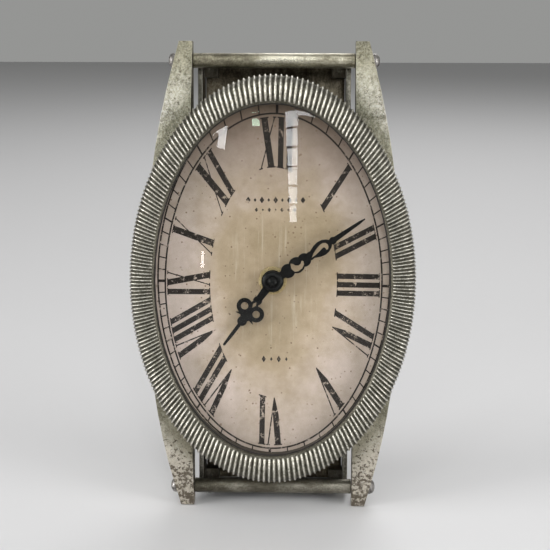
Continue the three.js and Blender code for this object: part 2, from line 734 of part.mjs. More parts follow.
const knobHole = KNOB_SHAFT_RADIUS + GAP;
add('movement_case_rear', cut(
  block([-caseHalf, caseHalf], [seam + GAP, movementBack], [bayTop, caseTop]),
  block(
    [MOVEMENT_WALL - caseHalf, caseHalf - MOVEMENT_WALL],
    [seam, lidFront],
    [bayTop + MOVEMENT_WALL, caseTop - MOVEMENT_WALL],
  ),
  rod(knobHole, lidFront - 1, movementBack + 1).translate(knobAxis[0], 0, knobAxis[1]),
  pivotHole(rotorAxis, lidFront - 1, lidFront + 1),
), 0x202022, 0.6, 0);

const batteryHeight = caseBottom + MOVEMENT_WALL + BATTERY_RADIUS;
const batteryDepth = movementFront + 2 * GAP + BATTERY_RADIUS;
const batteryHalf = BATTERY_LENGTH / 2;
const battery = turned([
  [0, -batteryHalf],
  [BATTERY_RADIUS - 0.6, -batteryHalf],
  [BATTERY_RADIUS, 0.6 - batteryHalf],
  [BATTERY_RADIUS, batteryHalf - 2],
  [2.7, batteryHalf - 1.5],
  [2.7, batteryHalf],
  [0, batteryHalf],
]);
add('battery', alongX(battery), 0x8c3b1e, 0.4, 0.3).position.set(0, batteryDepth, batteryHeight);

const contactGap = caseHalf - MOVEMENT_WALL - GAP;
[['positive_contact', 1], ['negative_contact', -1]].forEach(([name, side]) => {
  const reach = [batteryHalf + GAP, contactGap];
  const across = side > 0 ? reach : [-reach[1], -reach[0]];
  const depth = [batteryDepth - 4, batteryDepth + 5];
  add(name, block(across, depth, [batteryHeight - 3, batteryHeight + 3]), 0xc8c4b8, 0.3, 1);
});

// ---- Quartz movement: hands train ----

const handLayer = layer(1);

add('minute_pinion', join(
  rod(ARBOR_RADIUS, arborFront, layer(2) + WHEEL_THICKNESS, ROUND_STEPS),
  gear(CANNON, 0, handLayer),
), 0x9c7b45, 0.35, 0.9);

const minuteWheelStart = meshed(CANNON, 0, MINUTE_WHEEL, minuteDirection);
add('minute_wheel', onAxis(join(
  gear(MINUTE_WHEEL, minuteWheelStart, handLayer),
  gear(MINUTE_PINION, 0, layer(0), handLayer + WHEEL_THICKNESS / 2 - layer(0)),
  rod(PIVOT_RADIUS, floorBack - PIVOT_REACH, handLayer),
), minuteAxis), 0xd8d4c4, 0.5, 0);

const hourWheelStart = meshed(MINUTE_PINION, 0, HOUR_WHEEL, minuteDirection + 180);
add('hour_wheel', cut(
  join(
    rod(PIPE_RADIUS, pipeFront, layer(0) + WHEEL_THICKNESS, ROUND_STEPS),
    gear(HOUR_WHEEL, hourWheelStart, layer(0)),
  ),
  rod(ARBOR_RADIUS + GAP, pipeFront - 1, layer(0) + WHEEL_THICKNESS + 1, ROUND_STEPS),
), 0xd8d4c4, 0.5, 0);

const knobFront = movementBack + 2 * GAP;
const knobPinionStart = meshed(MINUTE_WHEEL, minuteWheelStart, KNOB_PINION, knobDirection);
add('setting_knob', onAxis(join(
  rod(KNOB_SHAFT_RADIUS, handLayer, knobFront + 1),
  gear(KNOB_PINION, knobPinionStart, handLayer),
  rod(PIVOT_RADIUS, floorBack - PIVOT_REACH, handLayer + 0.2),
  turned([
    [0, knobFront],
    [KNOB_RADIUS, knobFront],
    [KNOB_RADIUS, knobFront + KNOB_DEPTH - 1],
    [KNOB_RADIUS - 1, knobFront + KNOB_DEPTH],
    [0, knobFront + KNOB_DEPTH],
  ]),
), knobAxis), 0x2a2a2c, 0.6, 0);

// ---- Quartz movement: going train, driven by the rotor ----

const arbor = (front, back) => rod(PIVOT_RADIUS, front, back);

const thirdPinionStart = meshed(CENTRE_WHEEL, 0, THIRD_PINION, thirdDirection);
add('centre_wheel', cut(
  gear(CENTRE_WHEEL, 0, layer(2)),
  rod(ARBOR_RADIUS + GAP, layer(2) - 1, layer(2) + WHEEL_THICKNESS + 1, ROUND_STEPS),
), 0xa78a4e, 0.35, 0.9);

add('third_wheel', onAxis(join(
  gear(THIRD_PINION, thirdPinionStart, layer(2), 1.4),
  gear(THIRD_WHEEL, 0, layer(3)),
  arbor(floorBack - PIVOT_REACH, bridgeFront + PIVOT_REACH),
), thirdAxis), 0xa78a4e, 0.35, 0.9);

const fourthPinionStart = meshed(THIRD_WHEEL, 0, FOURTH_PINION, fourthDirection);
add('fourth_wheel', onAxis(join(
  gear(FOURTH_PINION, fourthPinionStart, layer(3), 1.4),
  gear(FOURTH_WHEEL, 0, layer(4)),
  arbor(layer(3) - 0.2, bridgeFront + PIVOT_REACH),
), fourthAxis), 0xa78a4e, 0.35, 0.9);

const fifthPinionStart = meshed(FOURTH_WHEEL, 0, FIFTH_PINION, fifthDirection);
add('fifth_wheel', onAxis(join(
  gear(FIFTH_PINION, fifthPinionStart, layer(4), 1.4),
  gear(FIFTH_WHEEL, 0, layer(5)),
  arbor(layer(4) - 0.3, bridgeFront + PIVOT_REACH),
), fifthAxis), 0xd8d4c4, 0.5, 0);

const magnetRadius = 3;
const magnetFront = layer(5) + WHEEL_THICKNESS + 0.5;
const rotorPinionStart = meshed(FIFTH_WHEEL, 0, ROTOR_PINION, rotorDirection);
add('rotor', onAxis(join(
  gear(ROTOR_PINION, rotorPinionStart, layer(5), 1.3),
  rod(magnetRadius, magnetFront, magnetFront + 2),
  arbor(floorBack - PIVOT_REACH, lidFront + PIVOT_REACH),
), rotorAxis), 0x3a3a40, 0.4, 0.6);

const bridgeHoles = [thirdAxis, fourthAxis, fifthAxis];
add('train_bridge', cut(
  plate(
    polygon([[-6, -13], [18, -13], [18, 4], [2, 9.6], [-8.4, 9.6], [-9.2, 2]]),
    bridgeFront,
    bridgeFront + bridgeThickness,
  ),
  ...bridgeHoles.map((axis) => pivotHole(axis, bridgeFront - 1, bridgeFront + bridgeThickness + 1)),
), 0x4a4a4e, 0.6, 0);

// ---- Quartz movement: motor and circuit ----

// The coil lies along X on the long leg of the stator, which loops around it and holds the rotor.
const statorFront = magnetFront + 0.2;
const statorThickness = 0.8;
const coilHeight = 14.9;
const coilMiddle = 7;
const coilHalf = 10;
const coreHalf = 1; // half the height of the leg through the coil
const bobbinBore = 1.4;
const bobbinRadius = 1.9;
const flangeRadius = 3;
const flangeThickness = 0.8;

const stator = polygon([
  [rotorAxis[0] - 5, 5.5],
  [rotorAxis[0] + 4.1, 5.5],
  [rotorAxis[0] + 4.1, 9],
  [20.5, 9],
  [20.5, coilHeight + coreHalf],
  [rotorAxis[0] - 5, coilHeight + coreHalf],
]);
const coilWindow = block(
  [rotorAxis[0] + 5, 18.5],
  [statorFront - 1, lidFront],
  [11.4, coilHeight - coreHalf],
);
add('stator', cut(
  plate(stator, statorFront, statorFront + statorThickness),
  coilWindow,
  onAxis(rod(magnetRadius + GAP, statorFront - 1, lidFront, ROUND_STEPS), rotorAxis),
), 0x8d8d92, 0.4, 0.9);

const coilAt = (geometry) => (
  alongX(geometry).translate(coilMiddle, statorFront + statorThickness / 2, coilHeight)
);
add('coil_bobbin', coilAt(turned([
  [bobbinBore, -coilHalf],
  [flangeRadius, -coilHalf],
  [flangeRadius, flangeThickness - coilHalf],
  [bobbinRadius, flangeThickness - coilHalf],
  [bobbinRadius, coilHalf - flangeThickness],
  [flangeRadius, coilHalf - flangeThickness],
  [flangeRadius, coilHalf],
  [bobbinBore, coilHalf],
], 16)), 0xe8e4d8, 0.6, 0);
const windingHalf = coilHalf - flangeThickness - GAP;
add('coil_winding', coilAt(turned([
  [bobbinRadius + GAP, -windingHalf],
  [flangeRadius - 0.1, -windingHalf],
  [flangeRadius - 0.1, windingHalf],
  [bobbinRadius + GAP, windingHalf],
], 16)), 0xa3552b, 0.35, 0.9);

const boardFront = bridgeFront + bridgeThickness + GAP;
const boardThickness = 0.8;
add('circuit_board', join(
  block([1, 25.5], [boardFront, boardFront + boardThickness], [bayTop + MOVEMENT_WALL + 0.5, 4]),
  rod(2.6, boardFront + 0.2, boardFront + boardThickness + 0.2).translate(16, 0, -6),
), 0x2f5b34, 0.5, 0);

const crystalRadius = 1;
const crystalHalf = 3;
const crystal = alongX(rod(crystalRadius, -crystalHalf, crystalHalf));
add('quartz_crystal', crystal, 0xc9c9cc, 0.25, 1)
  .position.set(22.3, boardFront - GAP - crystalRadius, -12);

clock.rotation.x = -LEAN;
const assembly = new THREE.Group();
assembly.add(clock);
const bounds = new THREE.Box3().setFromObject(assembly, true);
assembly.position.set(0, -(bounds.min.y + bounds.max.y) / 2, -bounds.min.z);

export default assembly;
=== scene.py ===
import json
import math

import bpy
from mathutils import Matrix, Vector


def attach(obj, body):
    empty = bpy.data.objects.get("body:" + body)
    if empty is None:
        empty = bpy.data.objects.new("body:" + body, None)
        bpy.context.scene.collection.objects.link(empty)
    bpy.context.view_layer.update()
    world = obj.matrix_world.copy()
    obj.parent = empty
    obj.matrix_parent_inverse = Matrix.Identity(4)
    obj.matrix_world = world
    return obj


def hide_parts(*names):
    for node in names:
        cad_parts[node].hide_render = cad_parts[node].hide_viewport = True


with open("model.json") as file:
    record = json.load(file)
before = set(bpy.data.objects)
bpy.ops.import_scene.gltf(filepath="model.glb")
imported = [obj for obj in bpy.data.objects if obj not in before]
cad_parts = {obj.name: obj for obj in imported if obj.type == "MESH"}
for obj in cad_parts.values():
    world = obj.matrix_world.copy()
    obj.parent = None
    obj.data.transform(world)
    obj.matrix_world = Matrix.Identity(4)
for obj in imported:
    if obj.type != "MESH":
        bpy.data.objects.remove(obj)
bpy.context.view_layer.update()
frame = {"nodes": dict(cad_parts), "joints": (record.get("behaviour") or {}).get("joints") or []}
nodes = frame["nodes"]

# The clock leans back on its lower lugs. Every piece below is drawn in millimetres as if the
# clock stood upright with the dial's centre at the origin, X to the right, Y to the back and
# Z up, and is then leant into place.
hand_axis = frame["joints"][0]
dial_centre = Vector(hand_axis["pos_m"])
lean = math.atan2(hand_axis["axis"][2], hand_axis["axis"][1])
MM = 0.001

# A dark fibre ring holds the glass off the dial, and a black rubber gasket sits in front of
# the glass under the bezel's lip. A washer of the same rubber backs the dial plate.


def node(finish, kind, sockets, **settings):
    """Adds a shader node; a socket is given another node's output or a plain value."""
    made = finish.node_tree.nodes.new("ShaderNode" + kind)
    for name, value in settings.items():
        setattr(made, name, value)
    for name, value in sockets.items():
        if isinstance(value, bpy.types.NodeSocket):
            finish.node_tree.links.new(value, made.inputs[name])
        else:
            made.inputs[name].default_value = value
    return made


def ramp(finish, factor, *stops):
    """A colour ramp; a stop is (position, value) or (position, (red, green, blue))."""
    made = node(finish, "ValToRGB", {"Fac": factor})
    elements = made.color_ramp.elements
    while len(elements) < len(stops):
        elements.new(0.5)
    for element, (position, colour) in zip(elements, stops):
        element.position = position
        shade = colour if isinstance(colour, tuple) else (colour,) * 3
        element.color = (*shade, 1)
    return made.outputs["Color"]


def noise(finish, where, scale, detail=5.0, rough=0.6):
    """A noise pattern's strength, with features of about 1/scale metres."""
    return node(finish, "TexNoise", {
        "Vector": where, "Scale": scale, "Detail": detail, "Roughness": rough,
    }).outputs["Fac"]


def new_finish(name):
    """A material with its shader and the object's own coordinates."""
    finish = bpy.data.materials.new(name)
    finish.use_nodes = True
    shader = finish.node_tree.nodes["Principled BSDF"]
    where = finish.node_tree.nodes.new("ShaderNodeTexCoord").outputs["Object"]
    return finish, shader, where


def link(finish, output, socket):
    finish.node_tree.links.new(output, socket)


def bumped(finish, shader, height, depth, strength=0.6):
    """Raises the surface by a height pattern, depth in millimetres."""
    bump = node(finish, "Bump", {"Height": height, "Strength": strength, "Distance": depth * MM})
    link(finish, bump.outputs["Normal"], shader.inputs["Normal"])


def coat(finish, *names):
    """Gives CAD nodes that stay a finish in all their slots."""
    for name in names:
        for slot in nodes[name].material_slots:
            slot.material = finish
        if not nodes[name].material_slots:
            nodes[name].data.materials.append(finish)


ring_fibre, shader, where = new_finish("spacer_fibre")
grain = noise(ring_fibre, where, 700, 5)
link(ring_fibre, ramp(ring_fibre, grain, (0.3, (0.035, 0.028, 0.022)), (0.7, (0.10, 0.085, 0.07))),
     shader.inputs["Base Color"])
shader.inputs["Roughness"].default_value = 0.7
bumped(ring_fibre, shader, grain, 0.15)
coat(ring_fibre, "spacer_ring")
gasket_rubber, shader, where = new_finish("gasket_rubber")
grain = noise(gasket_rubber, where, 900, 4)
link(gasket_rubber, ramp(gasket_rubber, grain, (0.3, (0.012, 0.010, 0.009)),
                         (0.7, (0.035, 0.030, 0.026))), shader.inputs["Base Color"])
link(gasket_rubber, ramp(gasket_rubber, grain, (0.3, 0.45), (0.7, 0.7)), shader.inputs["Roughness"])
bumped(gasket_rubber, shader, grain, 0.08)
coat(gasket_rubber, "bezel_gasket", "rubber_washer")

# The glass is a blown oval dome with a flat ground rim, clear and thin. It is held between
# the fibre ring behind it and the rubber gasket in front.


def nothing_selected():
    """Leaves object mode with nothing selected."""
    if bpy.context.object and bpy.context.object.mode != "OBJECT":
        bpy.ops.object.mode_set(mode="OBJECT")
    bpy.ops.object.select_all(action="DESELECT")


def only(piece):
    """Selects one piece and makes it active."""
    nothing_selected()
    piece.select_set(True)
    bpy.context.view_layer.objects.active = piece


def sum_of(finish, first, second, operation="ADD"):
    """Works out one number from two."""
    return node(finish, "Math", {0: first, 1: second}, operation=operation).outputs[0]


def lean_into_place(piece, name, body, finish, smooth=35):
    """Names a piece, leans it into the clock, shades it, gives it its finish and its body."""
    piece.name = name
    piece.data.name = name
    only(piece)
    piece.scale = (MM, MM, MM)
    piece.rotation_euler = (lean, 0, 0)
    piece.location = dial_centre
    bpy.ops.object.transform_apply(location=True, rotation=True, scale=True)
    bpy.ops.object.shade_smooth_by_angle(angle=math.radians(smooth))
    piece.data.materials.clear()
    piece.data.materials.append(finish)
    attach(piece, body)


DOME_OVAL = (72.8, 109.8)
FLANGE_OVAL = (77.2, 114.2)
GLASS_FRONT = 6.4
GLASS_THICK = 2.5
GLASS_RISE = 15.0
DOME_STEPS = 30
DOME_COLUMNS = 200


def tube_of_rings(columns, rings):
    """A tube of round rings 1 apart along Y, whose points are then moved to where they belong."""
    nothing_selected()
    bpy.ops.mesh.primitive_circle_add(vertices=columns, radius=1, fill_type="NOTHING",
                                      rotation=(math.pi / 2, 0, 0))
    bpy.ops.object.transform_apply(location=True, rotation=True, scale=True)
    bpy.ops.object.mode_set(mode="EDIT")
    bpy.ops.mesh.select_all(action="SELECT")
    for _ in range(rings - 1):
        bpy.ops.mesh.extrude_region_move(TRANSFORM_OT_translate={"value": (0, 1, 0)})
    bpy.ops.object.mode_set(mode="OBJECT")
    return bpy.context.object


def close_up():
    """Merges the active piece's doubled points and turns its faces outward."""
    bpy.ops.object.mode_set(mode="EDIT")
    bpy.ops.mesh.select_all(action="SELECT")
    bpy.ops.mesh.remove_doubles(threshold=0.0001)
    bpy.ops.mesh.normals_make_consistent(inside=False)
    bpy.ops.object.mode_set(mode="OBJECT")


def dome_outline():
    """The dome's section from the outer crown round its rim to the inner crown: (part, depth)."""
    outer = [(step / DOME_STEPS, GLASS_FRONT - GLASS_RISE * (1 - (step / DOME_STEPS) ** 2))
             for step in range(DOME_STEPS + 1)]
    rim = FLANGE_OVAL[0] / DOME_OVAL[0]
    inner = [(part, depth + GLASS_THICK) for part, depth in reversed(outer)]
    return outer + [(rim, GLASS_FRONT), (rim, GLASS_FRONT + GLASS_THICK)] + inner


outline = dome_outline()
glass = tube_of_rings(DOME_COLUMNS, len(outline))
for vertex in glass.data.vertices:
    part, depth = outline[round(vertex.co.y)]
    vertex.co = (vertex.co.x * part * DOME_OVAL[0], depth, vertex.co.z * part * DOME_OVAL[1])
close_up()
dome_glass = bpy.data.materials.new("domed_glass")
dome_glass.use_nodes = True
tree = dome_glass.node_tree
tree.nodes.remove(tree.nodes["Principled BSDF"])
through = node(dome_glass, "BsdfTransparent", {"Color": (0.965, 0.975, 0.965, 1)})
gleam = node(dome_glass, "BsdfGlossy", {"Roughness": 0.02})
edge_on = node(dome_glass, "Fresnel", {"IOR": 1.34}).outputs["Fac"]
inner_wall = node(dome_glass, "NewGeometry", {}).outputs["Backfacing"]
edge_on = sum_of(dome_glass, edge_on, sum_of(dome_glass, 1.0, inner_wall, "SUBTRACT"), "MULTIPLY")
share = node(dome_glass, "MixShader", {0: edge_on, 1: through.outputs[0], 2: gleam.outputs[0]})
link(dome_glass, share.outputs[0], tree.nodes["Material Output"].inputs["Surface"])
lean_into_place(glass, "domed_lens", "clock_body", dome_glass, 60)
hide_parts("glass_dome")

# Two round nickel bars stand where a strap's spring bars would be, each held between a pair
# of lugs by a slotted pan-head screw at either end. The lower one is given a darker, rougher
# copy of the nickel finish; its darker colour is painted shade.


def apply_modifier(piece, kind, **settings):
    """Adds a modifier with its settings and applies it."""
    only(piece)
    modifier = piece.modifiers.new(kind.title(), kind)
    for name, value in settings.items():
        setattr(modifier, name, value)
    bpy.ops.object.modifier_apply(modifier=modifier.name)


def mixed(finish, factor, low, high, mode="MIX"):
    """Mixes two colours by a factor."""
    made = node(finish, "Mix", {}, data_type="RGBA", blend_type=mode)
    for place, value in ((0, factor), (6, low), (7, high)):
        if isinstance(value, bpy.types.NodeSocket):
            finish.node_tree.links.new(value, made.inputs[place])
        elif isinstance(value, tuple):
            made.inputs[place].default_value = (*value, 1)
        else:
            made.inputs[place].default_value = value
    return made.outputs[2]


def aged_metal(name, bright, grey, dark, patina=0.5, speckle=1100, rough=(0.3, 0.6), pits=0.0,
               edge=1.2, edge_light=0.6, metallic=0.85, grain=(1, 1, 0.35)):
    """Raw metal dulled by patina, speckled and pitted, with its edges rubbed bright."""
    finish, shader, where = new_finish(name)
    broad = noise(finish, where, 30, 6, 0.6)
    fine = noise(finish, where, speckle, 7, 0.8)
    drawn = node(finish, "Mapping", {
        "Vector": where, "Rotation": (0, 0.25, 0), "Scale": grain}).outputs["Vector"]
    blotch = noise(finish, drawn, speckle * 0.3, 6, 0.68)
    wear = sum_of(finish, sum_of(finish, broad, 0.36, "MULTIPLY"),
                  sum_of(finish, sum_of(finish, fine, 0.36, "MULTIPLY"),
                         sum_of(finish, blotch, 0.28, "MULTIPLY")))
    low = 0.36 + 0.16 * patina
    between = tuple(0.6 * one + 0.4 * other for one, other in zip(dark, grey))
    colour = ramp(finish, wear, (low - 0.10, dark), (low, between), (low + 0.05, grey),
                  (low + 0.14, bright))
    gloss = ramp(finish, wear, (low, rough[1]), (low + 0.17, rough[0]))
    height = fine
    if pits:
        cells = node(finish, "TexVoronoi", {
            "Vector": where, "Scale": speckle * 0.5}).outputs["Distance"]
        pit = ramp(finish, cells, (0.16, 1.0), (0.30, 0.0))
        patches = ramp(finish, blotch, (0.50, 0.0), (0.60, 1.0))
        pit = mixed(finish, patches, (0, 0, 0), pit)
        colour = mixed(finish, sum_of(finish, pit, pits, "MULTIPLY"), colour, dark)
        height = sum_of(finish, fine, sum_of(finish, pit, 1.6, "MULTIPLY"), "SUBTRACT")
    if edge:
        soft = node(finish, "Bevel", {"Radius": edge * MM}, samples=4).outputs["Normal"]
        flat = node(finish, "NewGeometry", {}).outputs["Normal"]
        turn = node(finish, "VectorMath", {0: soft, 1: flat},
                    operation="DOT_PRODUCT").outputs["Value"]
        wear_and_painted_light = ramp(finish, sum_of(finish, turn, sum_of(finish, fine, 0.12, "MULTIPLY")),
                      (0.90, edge_light), (1.03, 0.0))
        colour = mixed(finish, wear_and_painted_light, colour, bright)
        gloss = mixed(finish, wear_and_painted_light, gloss, (rough[0],) * 3)
    link(finish, colour, shader.inputs["Base Color"])
    link(finish, gloss, shader.inputs["Roughness"])
    shader.inputs["Metallic"].default_value = metallic
    bumped(finish, shader, height, 0.35)
    return finish


BAR_HEIGHT = 138
BAR_DEPTH = 31.25
BAR_RADIUS = 4.75
BAR_HALF = 51.2
bar_metal = aged_metal("bar_nickel", (0.58, 0.55, 0.44), (0.24, 0.22, 0.155), (0.05, 0.042, 0.028),
                       patina=0.42, speckle=1300, rough=(0.2, 0.42), edge=0, grain=(0.3, 1, 1))
# The lower bar is given a darker copy of the bar's finish: painted shade.
shaded_bar_metal = aged_metal("bar_nickel_shaded", (0.32, 0.30, 0.25), (0.15, 0.138, 0.105),
                            (0.04, 0.033, 0.022), patina=0.6, speckle=1300, rough=(0.28, 0.5), edge=0,
                            grain=(0.3, 1, 1))
for name, height, finish in (("upper_bar", BAR_HEIGHT, bar_metal),
                             ("lower_bar", -BAR_HEIGHT, shaded_bar_metal)):
    nothing_selected()
    bpy.ops.mesh.primitive_cylinder_add(vertices=48, radius=BAR_RADIUS, depth=2 * BAR_HALF,
                                        location=(0, BAR_DEPTH, height),
                                        rotation=(0, math.pi / 2, 0))
    bar = bpy.context.object
    bpy.ops.object.transform_apply(location=True, rotation=True, scale=True)
    apply_modifier(bar, "BEVEL", width=0.5, segments=3, limit_method="ANGLE")
    lean_into_place(bar, name + "_rod", "clock_body", finish)
    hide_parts(name)

# The body is one sand-cast aluminium piece: an oval cup with four tapering lugs. The casting
# was left raw, so it is pitted, and rubbed bright along its edges. Its lower lugs are crusted
# brown about the feet and painted paler towards them as painted light, and its upper lugs' tips
# are painted darker as painted shade.


def upright_copy(name):
    """A copy of a CAD node, merged and stood upright in millimetres, for finer work."""
    only(nodes[name])
    bpy.ops.object.duplicate()
    piece = bpy.context.object
    piece.parent = None
    for key in list(piece.keys()):
        del piece[key]
    piece.location = -dial_centre
    bpy.ops.object.transform_apply(location=True, rotation=True, scale=True)
    piece.rotation_euler = (-lean, 0, 0)
    piece.scale = (1 / MM, 1 / MM, 1 / MM)
    bpy.ops.object.transform_apply(location=True, rotation=True, scale=True)
    bpy.ops.object.mode_set(mode="EDIT")
    bpy.ops.mesh.select_all(action="SELECT")
    bpy.ops.mesh.remove_doubles(threshold=0.001)
    bpy.ops.mesh.dissolve_limited(angle_limit=math.radians(0.5))
    bpy.ops.object.mode_set(mode="OBJECT")
    return piece


cast_metal = aged_metal("raw_casting", (0.64, 0.61, 0.52), (0.30, 0.285, 0.225), (0.065, 0.058, 0.040),
                        patina=0.48, speckle=1150, rough=(0.28, 0.55), pits=0.8, metallic=0.85)
CRUST_TOP, CRUST_FULL = 0.055, 0.012
PALE_TOP, PALE_FULL = 0.075, 0.035
TIP_SHADE_START, TIP_SHADE_FULL = 0.255, 0.285
BEZEL_REACH = (0.180, 1000, 0.258)
shader = cast_metal.node_tree.nodes["Principled BSDF"]
clean = shader.inputs["Base Color"].links[0].from_socket
where = node(cast_metal, "TexCoord", {}).outputs["Object"]
height = node(cast_metal, "SeparateXYZ", {"Vector": where}).outputs["Z"]
low_down, wear_and_painted_light, high_up = (
    node(cast_metal, "MapRange", {"Value": height, "From Min": start, "From Max": full}).outputs[0]
    for start, full in ((CRUST_TOP, CRUST_FULL), (PALE_TOP, PALE_FULL), (TIP_SHADE_START, TIP_SHADE_FULL)))
crust = sum_of(cast_metal, noise(cast_metal, where, 380, 6, 0.75),
               sum_of(cast_metal, low_down, 0.13, "MULTIPLY"))
crust = ramp(cast_metal, crust, (0.595, 0.0), (0.62, 0.85))
# Pale speckled patches over the casting are a painted sheen.
painted_sheen = ramp(cast_metal, noise(cast_metal, where, 620, 6, 0.8), (0.47, 0.0), (0.61, 0.6))
clean = mixed(cast_metal, painted_sheen, clean, (0.74, 0.72, 0.67))
# The lower lugs are painted paler towards the feet: painted light.
clean = mixed(cast_metal, sum_of(cast_metal, wear_and_painted_light, 0.55, "MULTIPLY"), clean, (0.74, 0.67, 0.56))
crusted = mixed(cast_metal, crust, clean, (0.085, 0.062, 0.040))
# The upper lugs' tips are painted darker: painted shade.
tip_shade = sum_of(cast_metal, high_up, 0.8, "MULTIPLY")
tip_shaded = mixed(cast_metal, tip_shade, crusted, (0.50, 0.49, 0.39), "MULTIPLY")
# All four lugs are painted darker beside the bezel: the bezel's painted shadow.
by_bezel = node(cast_metal, "Mapping", {
    "Vector": where, "Location": dial_centre, "Rotation": (lean, 0, 0), "Scale": BEZEL_REACH,
}, vector_type="TEXTURE").outputs["Vector"]
by_bezel = node(cast_metal, "VectorMath", {0: by_bezel}, operation="LENGTH").outputs["Value"]
bezel_shadow = ramp(cast_metal, by_bezel, (0.52, (0.50, 0.50, 0.44)), (0.565, (1.0, 1.0, 1.0)))
link(cast_metal, mixed(cast_metal, 1.0, tip_shaded, bezel_shadow, "MULTIPLY"), shader.inputs["Base Color"])
body = upright_copy("case_body")
apply_modifier(body, "BEVEL", width=0.6, segments=2, limit_method="ANGLE",
               angle_limit=math.radians(32), use_clamp_overlap=True)
lean_into_place(body, "cast_case", "clock_body", cast_metal, 40)
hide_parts("case_body")

# Each end of a bar is drawn against its lug by a slotted pan-head screw of darkened steel,
# put in from the side. The slots have stopped wherever the driver left them.
screw_metal = aged_metal("screw_steel", (0.40, 0.38, 0.36), (0.16, 0.15, 0.14), (0.04, 0.035, 0.03),
                         patina=0.6, speckle=1500, rough=(0.25, 0.5), edge=0)


def pan_screw(radius, head, shank_radius, shank):
    """A slotted screw, its head's seat at the origin, its head towards +X."""
    nothing_selected()
    bpy.ops.mesh.primitive_circle_add(vertices=32, radius=shank_radius, fill_type="NGON",
                                      rotation=(0, math.pi / 2, 0), location=(-shank, 0, 0))
    screw = bpy.context.object
    bpy.ops.object.transform_apply(location=True, rotation=True, scale=True)
    bpy.ops.object.mode_set(mode="EDIT")
    place, width = -shank, shank_radius
    for along, wide in ((0, shank_radius), (0, radius), (head * 0.35, radius),
                        (head * 0.7, radius * 0.86), (head * 0.92, radius * 0.56),
                        (head, radius * 0.2)):
        bpy.ops.mesh.extrude_region_move(TRANSFORM_OT_translate={"value": (along - place, 0, 0)})
        bpy.ops.transform.resize(value=(1, wide / width, wide / width))
        place, width = along, wide
    bpy.ops.mesh.select_all(action="SELECT")
    bpy.ops.mesh.normals_make_consistent(inside=False)
    bpy.ops.object.mode_set(mode="OBJECT")
    bpy.ops.mesh.primitive_cube_add(size=1, location=(head, 0, 0))
    slot = bpy.context.object
    slot.dimensions = (head * 0.8, radius * 0.34, radius * 2.4)
    bpy.ops.object.transform_apply(location=True, rotation=True, scale=True)
    apply_modifier(screw, "BOOLEAN", object=slot, operation="DIFFERENCE", solver="EXACT")
    bpy.data.objects.remove(slot)
    return screw


def copy_of(piece):
    """A copy with its own mesh."""
    other = piece.copy()
    other.data = piece.data.copy()
    bpy.context.scene.collection.objects.link(other)
    return other


SCREW_SEAT_X = 62.2
lug_screw = pan_screw(radius=4.75, head=4.6, shank_radius=2.0, shank=10.4)
for number, (side, height, turn) in enumerate(
        ((-1, 1, 20), (1, 1, -35), (-1, -1, 70), (1, -1, 10)), start=1):
    screw = copy_of(lug_screw)
    only(screw)
    screw.rotation_euler = (math.radians(turn), 0, 0)
    bpy.ops.object.transform_apply(location=False, rotation=True, scale=False)
    screw.rotation_euler = (0, 0, 0 if side > 0 else math.pi)
    screw.location = (side * SCREW_SEAT_X, BAR_DEPTH, height * BAR_HEIGHT)
    bpy.ops.object.transform_apply(location=True, rotation=True, scale=False)
    lean_into_place(screw, f"lug_pan_screw_{number}", "clock_body", screw_metal)
    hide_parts(f"lug_screw_{number}")
bpy.data.objects.remove(lug_screw)

# A folded sheet tray is screwed on behind the case and closed by a cover with a window for
# the movement. Its front edges are rubbed bright, and its inside is painted dark brown as
# painted shade.
tray_metal = aged_metal("tray_sheet", (0.46, 0.44, 0.38), (0.17, 0.16, 0.13), (0.05, 0.044, 0.034),
                        patina=0.55, speckle=700, rough=(0.25, 0.5), edge=1.6, edge_light=0.9)
# Behind its front edge and inside its walls the tray is painted nearly black: painted shade.
FRONT_EDGE_BACK = 39.4
WALL_MIDDLE = 47.0
TOP_MIDDLE = 139.0
shader = tray_metal.node_tree.nodes["Principled BSDF"]
metal_colour = shader.inputs["Base Color"].links[0].from_socket
where = node(tray_metal, "TexCoord", {}).outputs["Object"]
upright = node(tray_metal, "Mapping", {
    "Vector": where, "Location": dial_centre, "Rotation": (lean, 0, 0), "Scale": (MM, MM, MM),
}, vector_type="TEXTURE").outputs["Vector"]
split = node(tray_metal, "SeparateXYZ", {"Vector": upright}).outputs
shaded_inside = sum_of(tray_metal, split["Y"], FRONT_EDGE_BACK, "GREATER_THAN")
for direction, limit in (("X", WALL_MIDDLE), ("Z", TOP_MIDDLE)):
    away = node(tray_metal, "Math", {0: split[direction]}, operation="ABSOLUTE").outputs[0]
    shaded_inside = sum_of(tray_metal, shaded_inside, sum_of(tray_metal, away, limit, "LESS_THAN"), "MULTIPLY")
inside_shade = mixed(tray_metal, sum_of(tray_metal, shaded_inside, 0.72, "MULTIPLY"), metal_colour,
             (0.040, 0.031, 0.018))
link(tray_metal, inside_shade, shader.inputs["Base Color"])
cover_metal = aged_metal("cover_sheet", (0.42, 0.37, 0.27), (0.17, 0.142, 0.098), (0.055, 0.042, 0.027),
                         patina=0.6, speckle=900, rough=(0.35, 0.6), edge=1.2, edge_light=0.7)
back_metal = aged_metal("case_back_sheet", (0.40, 0.38, 0.33), (0.17, 0.16, 0.135), (0.06, 0.054, 0.044),
                        patina=0.5, speckle=700, rough=(0.3, 0.5))
for name, piece_name, finish, slot_name in (
        ("rear_tray", "sheet_tray", tray_metal, "tray_sheet"),
        ("rear_cover", "tray_cover", cover_metal, "cover_sheet"),
        ("case_back", "case_back_plate", back_metal, "case_back_sheet")):
    sheet = upright_copy(name)
    apply_modifier(sheet, "BEVEL", width=0.35, segments=2, limit_method="ANGLE",
                   angle_limit=math.radians(32), use_clamp_overlap=True)
    lean_into_place(sheet, piece_name, "clock_body", finish, 40)
    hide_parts(name)
coat(screw_metal, *(f"{kind}_screw_{number}" for kind in ("tray", "cover", "bezel")
                    for number in (1, 2, 3, 4)))
